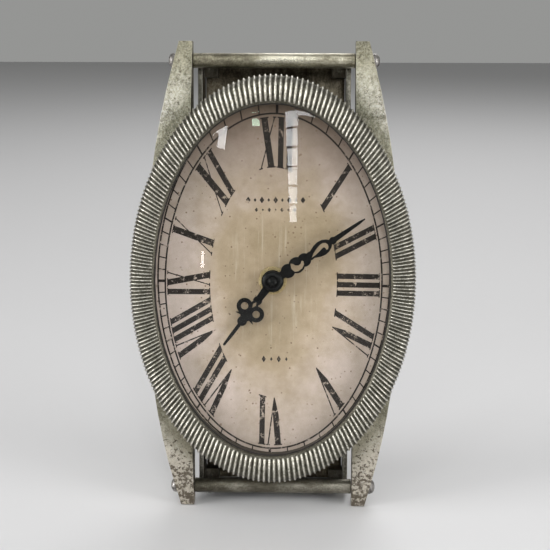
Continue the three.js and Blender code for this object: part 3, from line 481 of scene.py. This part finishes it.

# The dial is printed on paper glued to a thin plate. It has aged: pinkish beige at the rim,
# a greenish tan in the middle, with brown specks and water marks. It is painted darker at the
# top as painted shade and lighter at the bottom as painted light.


def aged_paper(finish, where):
    """The colour of the dial's paper."""
    oval = node(finish, "Mapping", {"Vector": where, "Location": dial_centre,
                                    "Rotation": (lean, 0, 0), "Scale": (0.074, 1, 0.111)},
                vector_type="TEXTURE").outputs["Vector"]
    flat = node(finish, "VectorMath", {0: oval, 1: (1, 0, 1)}, operation="MULTIPLY").outputs["Vector"]
    reach = node(finish, "VectorMath", {0: flat}, operation="LENGTH").outputs["Value"]
    height = node(finish, "SeparateXYZ", {"Vector": flat}).outputs["Z"]
    cloud = noise(finish, where, 24, 5, 0.55)
    grain = noise(finish, where, 160, 6, 0.65)
    waver = sum_of(finish, sum_of(finish, reach, 0.5, "MULTIPLY"),
                   sum_of(finish, cloud, 0.45, "MULTIPLY"))
    base = ramp(finish, waver, (0.34, (0.362, 0.278, 0.196)), (0.46, (0.415, 0.322, 0.240)),
                (0.62, (0.515, 0.420, 0.385)))
    mottle = ramp(finish, cloud, (0.36, (0.80, 0.78, 0.70)), (0.64, (1.08, 1.06, 1.04)))
    base = mixed(finish, 0.8, base, mottle, "MULTIPLY")
    # The paper is painted darker towards the top as painted shade, and lighter towards the bottom as
    # painted light.
    shade = ramp(finish, sum_of(finish, sum_of(finish, height, 0.5, "MULTIPLY"),
                                sum_of(finish, cloud, 0.25, "MULTIPLY")),
                 (0.0, (1.16, 1.16, 1.18)), (0.34, (1.0, 1.0, 1.0)), (0.60, (0.42, 0.375, 0.33)))
    base = mixed(finish, 1.0, base, shade, "MULTIPLY")
    fibres = ramp(finish, grain, (0.32, (0.86, 0.84, 0.80)), (0.62, (1.04, 1.04, 1.04)))
    base = mixed(finish, 0.8, base, fibres, "MULTIPLY")
    spots = node(finish, "TexVoronoi", {"Vector": where, "Scale": 95.0}).outputs["Distance"]
    spots = sum_of(finish, spots, sum_of(finish, noise(finish, where, 420, 3), 0.35, "MULTIPLY"))
    specks = ramp(finish, spots, (0.19, 0.85), (0.27, 0.0))
    patches = ramp(finish, noise(finish, where, 55, 3), (0.52, 0.0), (0.60, 1.0))
    specks = mixed(finish, 1.0, specks, patches, "MULTIPLY")
    upright = node(finish, "Mapping", {"Vector": flat, "Scale": (30, 1, 2.4)}).outputs["Vector"]
    rubs = ramp(finish, noise(finish, upright, 1.0, 4, 0.65), (0.56, 0.0), (0.68, 0.38))
    middle = ramp(finish, reach, (0.30, 1.0), (0.52, 0.0))
    rubs = mixed(finish, 1.0, rubs, middle, "MULTIPLY")
    base = mixed(finish, rubs, base, (0.60, 0.52, 0.43))
    stains = node(finish, "TexVoronoi", {"Vector": where, "Scale": 330.0}).outputs["Distance"]
    stains = ramp(finish, stains, (0.15, 0.85), (0.22, 0.0))
    stains = mixed(finish, 1.0, stains, ramp(finish, grain, (0.52, 0.0), (0.58, 1.0)), "MULTIPLY")
    base = mixed(finish, stains, base, (0.16, 0.095, 0.06))
    return mixed(finish, specks, base, (0.19, 0.12, 0.07))


dial_paper, shader, where = new_finish("aged_dial_paper")
link(dial_paper, aged_paper(dial_paper, where), shader.inputs["Base Color"])
shader.inputs["Roughness"].default_value = 0.75
shader.inputs["Specular IOR Level"].default_value = 0.25
bumped(dial_paper, shader, noise(dial_paper, where, 120, 3), 0.05, 0.15)
coat(dial_paper, "dial_paper")
plate_metal = aged_metal("dial_plate_zinc", (0.42, 0.41, 0.38), (0.25, 0.24, 0.22), (0.10, 0.09, 0.08),
                         patina=0.4)
coat(plate_metal, "dial_plate")

# The dial's print is brown-black ink, broken and flaked as on an old enamel dial: a double
# oval track with a tick every minute, heavier at the quarters, and twelve Roman numerals
# with their feet to the centre, whose heads and feet follow ovals.
dial_ink, shader, where = new_finish("flaked_dial_ink")
fine = noise(dial_ink, where, 1300, 5, 0.75)
patch = noise(dial_ink, where, 260, 4, 0.6)
cracks = node(dial_ink, "TexVoronoi", {"Vector": where, "Scale": 210.0},
              feature="DISTANCE_TO_EDGE").outputs["Distance"]
cracks = sum_of(dial_ink, cracks, sum_of(dial_ink, patch, 0.42, "MULTIPLY"))
broken = ramp(dial_ink, cracks, (0.168, 1.0), (0.19, 0.0))
flakes = ramp(dial_ink, sum_of(dial_ink, fine, patch), (0.81, 0.8), (0.885, 0.0))
bare = mixed(dial_ink, 1.0, broken, flakes, "LIGHTEN")
ink = ramp(dial_ink, fine, (0.35, (0.008, 0.005, 0.004)), (0.66, (0.030, 0.020, 0.016)))
link(dial_ink, mixed(dial_ink, bare, ink, aged_paper(dial_ink, where)), shader.inputs["Base Color"])
shader.inputs["Roughness"].default_value = 0.6
shader.inputs["Specular IOR Level"].default_value = 0.3

PAPER_FRONT = 15.3
PRINT_DEPTH = 0.03
PRINT_BACK = PAPER_FRONT - 0.002
PRINT_CENTRE = (0.4, -2.0)
HEAD_OVAL = (67.2, 104.6)
FOOT_OVAL = (40.4, 73.6)
TRACK_INNER = (68.6, 106.8)
TRACK_OUTER = (73.4, 112.4)
OUTER_SHIFT = (0.2, 2.6)
LINE_WIDTH = 1.05


def joined(pieces):
    """Joins pieces into the first one."""
    nothing_selected()
    for piece in pieces:
        piece.select_set(True)
    bpy.context.view_layer.objects.active = pieces[0]
    bpy.ops.object.join()
    return pieces[0]


def inked(corners):
    """A thin patch of ink between four corners (x, z), given round the patch."""
    nothing_selected()
    bpy.ops.mesh.primitive_cube_add(size=2)
    patch = bpy.context.object
    order = {(-1, -1): 0, (1, -1): 1, (1, 1): 2, (-1, 1): 3}
    for vertex in patch.data.vertices:
        x, z = corners[order[round(vertex.co.x), round(vertex.co.z)]]
        front = PAPER_FRONT - PRINT_DEPTH if vertex.co.y < 0 else PRINT_BACK
        vertex.co = (x + PRINT_CENTRE[0], front, z + PRINT_CENTRE[1])
    return patch


def oval_line(oval, width, shift=(0, 0)):
    """A thin oval line of ink, shifted from the print's centre."""
    nothing_selected()
    bpy.ops.mesh.primitive_circle_add(vertices=180, radius=1, rotation=(math.pi / 2, 0, 0),
                                      fill_type="NOTHING")
    line = bpy.context.object
    bpy.ops.object.transform_apply(location=True, rotation=True, scale=True)
    bpy.ops.object.mode_set(mode="EDIT")
    bpy.ops.mesh.select_all(action="SELECT")
    bpy.ops.transform.resize(value=(oval[0] - width / 2, 1, oval[1] - width / 2))
    bpy.ops.mesh.extrude_region_move()
    bpy.ops.transform.resize(value=((oval[0] + width / 2) / (oval[0] - width / 2), 1,
                                    (oval[1] + width / 2) / (oval[1] - width / 2)))
    bpy.ops.mesh.select_all(action="SELECT")
    bpy.ops.mesh.extrude_region_move(TRANSFORM_OT_translate={"value": (0, -PRINT_DEPTH, 0)})
    bpy.ops.mesh.select_all(action="SELECT")
    bpy.ops.mesh.normals_make_consistent(inside=False)
    bpy.ops.transform.translate(value=(PRINT_CENTRE[0] + shift[0], PRINT_BACK,
                                       PRINT_CENTRE[1] + shift[1]))
    bpy.ops.object.mode_set(mode="OBJECT")
    return line


def on_oval(oval, angle, aside=0.0, shift=(0, 0)):
    """The point where a line at an angle from twelve, moved aside, meets a shifted oval."""
    out = Vector((math.sin(angle), math.cos(angle)))
    across = Vector((math.cos(angle), -math.sin(angle))) * aside - Vector(shift)
    a, b = oval
    p = out.x ** 2 / a ** 2 + out.y ** 2 / b ** 2
    q = 2 * (out.x * across.x / a ** 2 + out.y * across.y / b ** 2)
    r = across.x ** 2 / a ** 2 + across.y ** 2 / b ** 2 - 1
    return Vector(shift) + across + out * ((-q + math.sqrt(q * q - 4 * p * r)) / (2 * p))


track = [oval_line(TRACK_INNER, LINE_WIDTH), oval_line(TRACK_OUTER, LINE_WIDTH, OUTER_SHIFT)]
for minute in range(60):
    angle = math.radians(6 * minute + 1)
    half = 0.85 if minute % 15 == 0 else 0.55 if minute % 5 == 0 else 0.4
    track.append(inked([on_oval(TRACK_INNER, angle, -half), on_oval(TRACK_INNER, angle, half),
                        on_oval(TRACK_OUTER, angle, half, OUTER_SHIFT),
                        on_oval(TRACK_OUTER, angle, -half, OUTER_SHIFT)]))
lean_into_place(joined(track), "minute_track", "clock_body", dial_ink)

# Each letter is a list of strokes (aside at the foot, aside at the head, half width at the
# foot, half width at the head), in millimetres from the letter's left edge, and its width.
LETTERS = {
    "I": ([(1.75, 1.75, 1.7, 1.7)], 3.5),
    "V": ([(5.0, 1.9, 0.3, 1.85), (5.0, 8.4, 0.3, 0.42)], 8.8),
    "X": ([(7.2, 2.1, 1.95, 1.95), (0.8, 8.6, 0.38, 0.38)], 9.2),
}
LETTER_GAP = 1.9
SERIF_REACH = 0.75
V_TAPER = 0.36
NUMERALS = {1: ("I", 32.7), 2: ("II", 62.5), 3: ("III", 90.7), 4: ("IV", 122.3), 5: ("V", 152.5),
            6: ("VI", 181.0), 7: ("VII", 210.0), 8: ("VIII", 240.0), 9: ("IX", 270.0),
            10: ("X", 300.5), 11: ("XI", 330.5), 12: ("XII", 1.0)}


def letter_spot(angle, aside, part):
    """A point of a numeral: aside from its middle line, part of the way from foot to head."""
    return on_oval(FOOT_OVAL, angle, aside).lerp(on_oval(HEAD_OVAL, angle, aside), part)


for hour, (letters, turn) in NUMERALS.items():
    angle = math.radians(turn)
    whole = sum(LETTERS[letter][1] for letter in letters) + LETTER_GAP * (len(letters) - 1)
    left = -whole / 2
    strokes = []
    for letter in letters:
        for foot, head, foot_half, head_half in LETTERS[letter][0]:
            foot, head = left + foot, left + head
            pointed = letter == "V"
            swell = V_TAPER if pointed else 0.5
            waist = foot + (head - foot) * swell
            waist_half = head_half if pointed else (foot_half + head_half) / 2
            for (low, low_half, start), (high, high_half, end) in (
                    ((foot, foot_half, 0), (waist, waist_half, swell)),
                    ((waist, waist_half, swell), (head, head_half, 1))):
                strokes.append(inked([letter_spot(angle, low - low_half, start),
                                      letter_spot(angle, low + low_half, start),
                                      letter_spot(angle, high + high_half, end),
                                      letter_spot(angle, high - high_half, end)]))
            for aside, half, start, end in ((head, head_half, 0.985, 1.01),
                                            (foot, foot_half, -0.01, 0.015)):
                if pointed and end < 0.5:
                    continue
                reach = half + SERIF_REACH
                strokes.append(inked([letter_spot(angle, aside - reach, start),
                                      letter_spot(angle, aside + reach, start),
                                      letter_spot(angle, aside + reach, end),
                                      letter_spot(angle, aside - reach, end)]))
        left += LETTERS[letter][1] + LETTER_GAP
    numeral = joined(strokes)
    lean_into_place(numeral, f"numeral_{hour}", "clock_body", dial_ink)

# Two plain printed ornaments fill the dial's middle line: a double row of lozenges above the
# hands and a short row below them.


def lozenge(x, z, half_width, half_height):
    """A small lozenge of ink."""
    return inked([(x - half_width, z), (x, z - half_height), (x + half_width, z), (x, z + half_height)])


ROW_SHIFT = 1.2
for name, rows in (("upper_ornament", ((52.8, 9, 4.3, 1.5, 2.1), (46.6, 7, 4.0, 1.1, 1.4))),
                   ("lower_ornament", ((-48.6, 4, 4.8, 1.3, 2.2),))):
    marks = []
    for z, count, pitch, half_width, half_height in rows:
        for place in range(count):
            size = 1.0 if place % 2 == 0 else 0.6
            x = (place - (count - 1) / 2) * pitch + ROW_SHIFT
            marks.append(lozenge(x, z, half_width * size, half_height * size))
    ornament = joined(marks)
    lean_into_place(ornament, name, "clock_body", dial_ink)

# The bezel is cast in the same metal and reeded: 240 ribs run straight out from the dial's
# centre and over the rim. Their crests are worn silver and black patina fills the grooves.
RIBS = 240
SIGHT_OVAL = (74, 111)
BEZEL_FACE = (16, 18)
RIB_SECTION = (0.0, 0.04, 0.22, 0.84, 1.0, 0.84, 0.22, 0.04)
# How far out (as a part of the face) and how deep the groove's floor and the rib's crest lie.
BEZEL_ROWS = (
    ((0, 4.8), (0, 4.8)), ((0, 3.3), (0, 3.3)), ((0.015, 2.7), (0.015, 2.7)),
    ((0.05, 2.15), (0.05, 2.15)), ((0.075, 2.05), (0.075, 2.05)), ((0.085, 2.0), (0.085, 1.5)),
    ((0.11, 1.9), (0.105, 1.05)), ((0.16, 1.6), (0.155, 0.65)), ((0.26, 1.25), (0.26, 0.28)),
    ((0.42, 1.0), (0.42, 0.0)), ((0.58, 1.2), (0.60, 0.38)), ((0.72, 1.75), (0.755, 1.0)),
    ((0.83, 2.9), (0.875, 2.35)), ((0.905, 4.5), (0.96, 4.2)), ((0.94, 6.6), (1.0, 6.4)),
    ((0.94, 9.2), (1.0, 9.2)), ((0.94, 10.9), (0.995, 10.9)), ((0.94, 11.5), (0.96, 11.6)),
    ((0.92, 12.0), (0.92, 12.0)), ((0.231, 12.0), (0.231, 12.0)), ((0.231, 4.8), (0.231, 4.8)),
    ((0, 4.8), (0, 4.8)),
)
bezel = tube_of_rings(RIBS * len(RIB_SECTION), len(BEZEL_ROWS))
crest = bezel.data.attributes.new("crest", "FLOAT", "POINT")
column_angle = 2 * math.pi / (RIBS * len(RIB_SECTION))
for vertex in bezel.data.vertices:
    angle = math.atan2(vertex.co.x, vertex.co.z)
    height = RIB_SECTION[round(angle / column_angle) % len(RIB_SECTION)]
    floor, top = BEZEL_ROWS[round(vertex.co.y)]
    part = floor[0] + (top[0] - floor[0]) * height
    depth = floor[1] + (top[1] - floor[1]) * height
    oval = tuple(sight + face * part for sight, face in zip(SIGHT_OVAL, BEZEL_FACE))
    place = on_oval(oval, angle)
    vertex.co = (place.x, depth, place.y)
    crest.data[vertex.index].value = height if floor != top else 0.2
close_up()
rib_metal, shader, where = new_finish("reeded_bezel_metal")
height = node(rib_metal, "Attribute", {}, attribute_name="crest").outputs["Fac"]
fine = noise(rib_metal, where, 1200, 4, 0.7)
blotch = noise(rib_metal, where, 300, 5, 0.65)
broad = noise(rib_metal, where, 30, 4)
wear = sum_of(rib_metal, sum_of(rib_metal, height, 0.8, "MULTIPLY"),
              sum_of(rib_metal, sum_of(rib_metal, fine, 1.25, "MULTIPLY"),
                     sum_of(rib_metal, blotch, 0.75, "MULTIPLY")))
wear = sum_of(rib_metal, wear, sum_of(rib_metal, broad, 0.25, "MULTIPLY"))
colour = ramp(rib_metal, sum_of(rib_metal, wear, 0.5, "MULTIPLY"), (0.50, (0.036, 0.034, 0.025)),
              (0.70, (0.125, 0.118, 0.092)), (0.88, (0.33, 0.315, 0.265)), (1.0, (0.74, 0.71, 0.64)))
link(rib_metal, colour, shader.inputs["Base Color"])
link(rib_metal, ramp(rib_metal, sum_of(rib_metal, wear, 0.5, "MULTIPLY"), (0.55, 0.6), (0.95, 0.28)),
     shader.inputs["Roughness"])
shader.inputs["Metallic"].default_value = 0.85
bumped(rib_metal, shader, sum_of(rib_metal, fine, blotch), 0.25)
lean_into_place(bezel, "reeded_bezel", "clock_body", rib_metal, 60)
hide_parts("bezel")

# A bronze washer and a thin hex nut clamp the movement's threaded neck to the dial plate.
# Only the washer's rim shows, round the hands' boss.
washer_bronze = aged_metal("washer_bronze", (0.74, 0.58, 0.32), (0.40, 0.29, 0.14), (0.12, 0.085, 0.04),
                           patina=0.4, speckle=900, rough=(0.25, 0.5))
coat(washer_bronze, "dial_washer", "hex_nut")

# The hands are serpentine pattern, stamped from thin steel and painted satin black. The hour
# hand has two rings side by side, barbs in front of them and a short spear point.
hand_paint, shader, where = new_finish("hand_black_paint")
grain = noise(hand_paint, where, 600, 4)
link(hand_paint, ramp(hand_paint, grain, (0.3, (0.003, 0.003, 0.003)), (0.7, (0.009, 0.008, 0.008))),
     shader.inputs["Base Color"])
link(hand_paint, ramp(hand_paint, grain, (0.3, 0.34), (0.7, 0.5)), shader.inputs["Roughness"])
shader.inputs["Specular IOR Level"].default_value = 0.14
bumped(hand_paint, shader, grain, 0.04)


def disc(aside, along, radius, steps=40):
    """The outline of a disc, (aside, along) from the hand's boss."""
    return [(aside + radius * math.sin(2 * math.pi * step / steps),
             along + radius * math.cos(2 * math.pi * step / steps)) for step in range(steps)]


def both_sides(half):
    """An outline from the points on one side of a hand."""
    return half + [(-aside, along) for aside, along in reversed(half)]


def blank(outline, front, back):
    """A flat blank with an outline, between two depths."""
    nothing_selected()
    bpy.ops.mesh.primitive_circle_add(vertices=len(outline), radius=1, fill_type="NGON")
    piece = bpy.context.object
    for vertex, (aside, along) in zip(piece.data.vertices, outline):
        vertex.co = (aside, front, along)
    bpy.ops.object.mode_set(mode="EDIT")
    bpy.ops.mesh.select_all(action="SELECT")
    bpy.ops.mesh.extrude_region_move(TRANSFORM_OT_translate={"value": (0, back - front, 0)})
    bpy.ops.mesh.select_all(action="SELECT")
    bpy.ops.mesh.normals_make_consistent(inside=False)
    bpy.ops.object.mode_set(mode="OBJECT")
    return piece


def stamped(outlines, holes, front, back):
    """A hand stamped from overlapping outlines, pierced by holes, its front edges eased."""
    hand = blank(outlines[0], front, back)
    for operation, shapes, margin in (("UNION", outlines[1:], 0.0), ("DIFFERENCE", holes, 0.5)):
        for shape in shapes:
            tool = blank(shape, front - margin, back + margin)
            apply_modifier(hand, "BOOLEAN", object=tool, operation=operation, solver="EXACT")
            bpy.data.objects.remove(tool)
    apply_modifier(hand, "BEVEL", width=0.16, segments=2, limit_method="ANGLE",
                   angle_limit=math.radians(50), use_clamp_overlap=True)
    return hand


def turned_dome(radius, front, back, bore):
    """A shallow dome turned about the hands' axis, bored through when bore is not zero."""
    steps = 7
    section = [(bore, back), (radius, back), (radius, back - 0.35 * (back - front))]
    section += [(radius + (bore - radius) * step / steps,
                 front + 0.65 * (back - front) * (1 - (step / steps) * (2 - step / steps)))
                for step in range(1, steps + 1)]
    section.append(section[0])
    dome = tube_of_rings(48, len(section))
    for vertex in dome.data.vertices:
        wide, depth = section[round(vertex.co.y)]
        vertex.co = (vertex.co.x * wide, depth, vertex.co.z * wide)
    close_up()
    return dome


def turned_clockwise(piece, angle):
    """Turns a hand drawn pointing up clockwise about the hands' axis."""
    only(piece)
    piece.rotation_euler = (0, math.radians(angle), 0)
    bpy.ops.object.transform_apply(location=False, rotation=True, scale=False)
    return piece


HOUR_HAND_DEPTHS = (10.4, 11.3)
HOUR_HAND_ANGLE = 217
hour_hand = stamped(
    [disc(0, 0, 7.0, 48), both_sides([(2.9, 0), (2.4, 9), (2.2, 14), (1.6, 22)]),
     disc(0, 15.6, 2.9, 24), both_sides([(1.2, 15), (2.7, 18.8), (2.2, 24)]),
     disc(-4.55, 23.2, 5.05), disc(4.55, 23.2, 5.05),
     both_sides([(4.0, 24), (4.3, 27.6), (6.9, 29.7), (3.4, 29.2), (2.4, 30.6)]),
     disc(0, 31.9, 3.1, 24), both_sides([(1.25, 30), (1.1, 44), (0.75, 51.0), (0.3, 51.5)])],
    [disc(-4.55, 23.2, 2.35, 28), disc(4.55, 23.2, 2.35, 28), disc(0, 0, 2.6, 24),
     [(0, 16.8), (1.15, 18.9), (0, 21.3), (-1.15, 18.9)]], *HOUR_HAND_DEPTHS)
turned_clockwise(hour_hand, HOUR_HAND_ANGLE)
lean_into_place(hour_hand, "serpentine_hour_hand", "hour_arbor", hand_paint, 30)
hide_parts("hour_hand")

# The minute hand has four lobes, a hooked opening, a long eye and a fine point. A pressed
# boss is staked on it, and a domed nut on the arbor's thread holds it.
MINUTE_HAND_DEPTHS = (8.7, 9.6)
MINUTE_HAND_ANGLE = 55.4
minute_hand = stamped(
    [disc(0, 0, 6.4, 48), both_sides([(2.6, 0), (2.4, 10), (2.4, 28)]),
     disc(0, 11.8, 4.5), disc(0, 18.4, 5.1), disc(0, 24.2, 4.3), disc(0, 28.7, 2.8, 24),
     both_sides([(1.6, 28), (2.9, 31), (4.2, 34), (4.75, 37), (4.4, 40), (3.1, 42.6), (1.8, 44)]),
     disc(0, 45.8, 2.4, 24), both_sides([(1.7, 45), (1.5, 52), (0.9, 66), (0.35, 70)])],
    [[(-2.6, 15.4), (0.1, 14.3), (2.8, 15.0), (3.8, 17.1), (3.6, 20.1), (2.2, 22.4), (0.3, 23.3),
      (-0.6, 22.5), (0.6, 21.0), (0.8, 19.2), (-0.3, 17.7), (-2.1, 16.8), (-2.9, 15.9)],
     [(1.45, 28.9), (-0.3, 31.4), (-1.6, 34.5), (-2.4, 37.4), (-2.4, 39.6), (-1.4, 41.2),
      (0.2, 41.8), (1.7, 41.3), (2.7, 40.2), (2.5, 39.2), (1.6, 39.3), (0.5, 39.1), (0.1, 38.1),
      (0.5, 36.6), (0.9, 34.6), (1.4, 31.8)],
     disc(0, 0, 2.0, 24)], *MINUTE_HAND_DEPTHS)
turned_clockwise(minute_hand, MINUTE_HAND_ANGLE)
lean_into_place(minute_hand, "serpentine_minute_hand", "minute_arbor", hand_paint, 30)
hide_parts("minute_hand")
boss = turned_dome(radius=6.3, front=7.0, back=8.7, bore=3.7)
lean_into_place(boss, "minute_hand_boss", "minute_arbor", hand_paint, 50)
cap = turned_dome(radius=3.4, front=5.2, back=8.4, bore=0)
lean_into_place(cap, "domed_hand_nut", "minute_arbor", hand_paint, 50)
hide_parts("hand_nut")

# The movement's case is two halves of moulded black plastic, finely spark-textured and rubbed
# a little shiny. The setting knob and the coil's bobbin are moulded in the same plastic.
black_plastic, shader, where = new_finish("movement_plastic")
grain = noise(black_plastic, where, 1400, 4)
scuffs = noise(black_plastic, where, 170, 5, 0.7)
link(black_plastic, mixed(black_plastic, ramp(black_plastic, scuffs, (0.50, 0.0), (0.66, 0.5)),
                          ramp(black_plastic, grain, (0.3, (0.015, 0.015, 0.016)),
                               (0.7, (0.035, 0.034, 0.034))),
                          (0.075, 0.073, 0.070)), shader.inputs["Base Color"])
link(black_plastic, ramp(black_plastic, scuffs, (0.3, 0.5), (0.7, 0.32)), shader.inputs["Roughness"])
bumped(black_plastic, shader, grain, 0.06)
coat(black_plastic, "movement_case_front", "movement_case_rear", "setting_knob", "coil_bobbin")

# The hour, minute and train wheels, the bridge and the pinion on the hands' arbor are moulded
# in ivory plastic, which is a little yellowed in patches.
white_plastic, shader, where = new_finish("wheel_plastic")
grain = noise(white_plastic, where, 900, 4)
yellowed = noise(white_plastic, where, 140, 3)
link(white_plastic, mixed(white_plastic, ramp(white_plastic, yellowed, (0.4, 0.0), (0.7, 0.6)),
                          ramp(white_plastic, grain, (0.3, (0.62, 0.60, 0.54)),
                               (0.7, (0.76, 0.74, 0.68))),
                          (0.58, 0.52, 0.38)), shader.inputs["Base Color"])
shader.inputs["Roughness"].default_value = 0.4
bumped(white_plastic, shader, grain, 0.03)
coat(white_plastic, "minute_pinion", "minute_wheel", "hour_wheel", "centre_wheel", "third_wheel",
     "fourth_wheel", "fifth_wheel", "train_bridge")

# The battery is a steel can in a plain printed sleeve, dark with a copper-coloured band at
# its positive end. Nickelled spring contacts hold it, and the crystal's can is nickelled too.
wrap, shader, where = new_finish("battery_wrap")
grain = noise(wrap, where, 500, 4)
positive_end = max(corner[0] for corner in nodes["battery"].bound_box)
BAND_WIDTH = 0.012
along = node(wrap, "SeparateXYZ", {"Vector": where}).outputs["X"]
band = sum_of(wrap, along, positive_end - BAND_WIDTH, "GREATER_THAN")
link(wrap, mixed(wrap, band, ramp(wrap, grain, (0.3, (0.045, 0.05, 0.06)), (0.7, (0.08, 0.085, 0.10))),
                 ramp(wrap, grain, (0.3, (0.42, 0.20, 0.09)), (0.7, (0.52, 0.27, 0.13)))),
     shader.inputs["Base Color"])
shader.inputs["Metallic"].default_value = 0.6
shader.inputs["Roughness"].default_value = 0.3
bumped(wrap, shader, grain, 0.02)
coat(wrap, "battery")
nickel = aged_metal("contact_nickel", (0.72, 0.70, 0.66), (0.5, 0.48, 0.44), (0.2, 0.18, 0.15),
                    patina=0.1, rough=(0.2, 0.4), edge=0)
coat(nickel, "positive_contact", "negative_contact", "quartz_crystal")

# The stepping motor: a ferrite magnet for its rotor, a stack of grey iron for its stator, and
# a coil wound with fine enamelled copper wire.
magnet = aged_metal("rotor_magnet", (0.16, 0.16, 0.17), (0.09, 0.09, 0.10), (0.04, 0.04, 0.04), edge=0)
coat(magnet, "rotor")
iron = aged_metal("stator_iron", (0.40, 0.40, 0.42), (0.26, 0.26, 0.28), (0.10, 0.09, 0.09), edge=0)
coat(iron, "stator")
copper, shader, where = new_finish("coil_copper")
turns = node(copper, "TexWave", {"Vector": where, "Scale": 900.0, "Distortion": 0.4},
             bands_direction="X").outputs["Fac"]
link(copper, ramp(copper, turns, (0.0, (0.20, 0.07, 0.03)), (1.0, (0.62, 0.26, 0.12))),
     shader.inputs["Base Color"])
shader.inputs["Metallic"].default_value = 0.9
shader.inputs["Roughness"].default_value = 0.32
bumped(copper, shader, turns, 0.08)
coat(copper, "coil_winding")

# The drive circuit sits on a small green glass-fibre board whose weave shows faintly through
# the solder resist.
board, shader, where = new_finish("circuit_board")
weave = noise(board, where, 1600, 3)
link(board, ramp(board, weave, (0.3, (0.02, 0.09, 0.045)), (0.7, (0.035, 0.15, 0.075))),
     shader.inputs["Base Color"])
shader.inputs["Roughness"].default_value = 0.4
bumped(board, shader, weave, 0.03)
coat(board, "circuit_board")

# The floor is plain and pale and stands in for the table the clock is put on. The room's
# light comes evenly from behind, and is dim in front so that the glass stays clear.
nothing_selected()
bpy.ops.mesh.primitive_plane_add(size=6)
floor = bpy.context.object
floor.name = "studio_floor"
pale, shader, where = new_finish("pale_floor")
shader.inputs["Base Color"].default_value = (0.60, 0.595, 0.60, 1)
shader.inputs["Roughness"].default_value = 0.55
floor.data.materials.append(pale)

world = bpy.data.worlds.new("studio")
bpy.context.scene.world = world
world.use_nodes = True
sky = world.node_tree.nodes.new("ShaderNodeTexCoord").outputs["Generated"]
tilt = node(world, "SeparateXYZ", {"Vector": sky}).outputs["Y"]
room = ramp(world, tilt, (0.0, (0.085, 0.087, 0.085)), (0.35, (0.30, 0.302, 0.295)))
link(world, room, world.node_tree.nodes["Background"].inputs["Color"])


# A window of six panes, a small pane, a greenish one and a lamp are mirrored in the glass.
# Two large soft lights stand so far to the sides that the glass doesn't mirror them, and two
# more hang over and behind the clock.
CLOCK_FACE = Vector((0, -0.04, 0.155))


def softbox(name, place, size, power, colour=(1, 1, 1)):
    """A rectangular soft light at a place, aimed at the clock's face."""
    lamp = bpy.data.lights.new(name, "AREA")
    lamp.shape = "RECTANGLE"
    lamp.size, lamp.size_y = size
    lamp.energy = power
    lamp.color = colour
    holder = bpy.data.objects.new(name, lamp)
    holder.location = place
    holder.rotation_euler = (CLOCK_FACE - place).to_track_quat("-Z", "Y").to_euler()
    bpy.context.scene.collection.objects.link(holder)


def towards(azimuth, elevation, distance):
    """The point at a distance from the clock's face, azimuth to its right, elevation up."""
    azimuth, elevation = math.radians(azimuth), math.radians(elevation)
    return CLOCK_FACE + distance * Vector((math.sin(azimuth) * math.cos(elevation),
                                           -math.cos(azimuth) * math.cos(elevation),
                                           math.sin(elevation)))


PANES = 6
PANE_STEP = 4.3
PANE_GLOW = 66
for row in range(PANES):
    pane = (0.235 - 0.02 * row, 0.165)
    softbox(f"window_pane_{row + 1}", towards(8.3, 38.6 - PANE_STEP * row, 2.5), pane,
            PANE_GLOW * pane[0] * pane[1], (0.96, 0.98, 1.0))
softbox("left_pane", towards(-28, 33, 2.4), (0.14, 0.24), 2.8)
softbox("green_pane", towards(-11, 37.5, 2.4), (0.14, 0.07), 0.9, (0.72, 1.0, 0.78))
softbox("small_lamp", towards(-33, 5, 2.2), (0.05, 0.14), 0.6)
softbox("key_left", towards(-70, 14, 1.9), (0.9, 0.9), 34)
softbox("fill_right", towards(62, 12, 1.9), (0.9, 0.9), 26)
softbox("overhead", towards(0, 66, 1.8), (1.5, 1.1), 11)
softbox("behind", towards(165, 40, 2.0), (1.4, 1.0), 16)

# The camera stands in front, about 0.8 m from the dial, a little above it and just right of
# the middle.
camera_data = bpy.data.cameras.new("camera")
camera_data.lens = 84.3
camera_data.sensor_width = 36
camera = bpy.data.objects.new("camera", camera_data)
camera.location = (0.02145, -0.80696, 0.36236)
camera_aim = Vector((0.00177, -0.03438, 0.15808))
gaze = (camera_aim - camera.location).to_track_quat("-Z", "Y").to_matrix()
camera.rotation_euler = gaze.to_euler()
bpy.context.scene.collection.objects.link(camera)
bpy.context.scene.camera = camera
bpy.context.scene.view_settings.view_transform = "Standard"
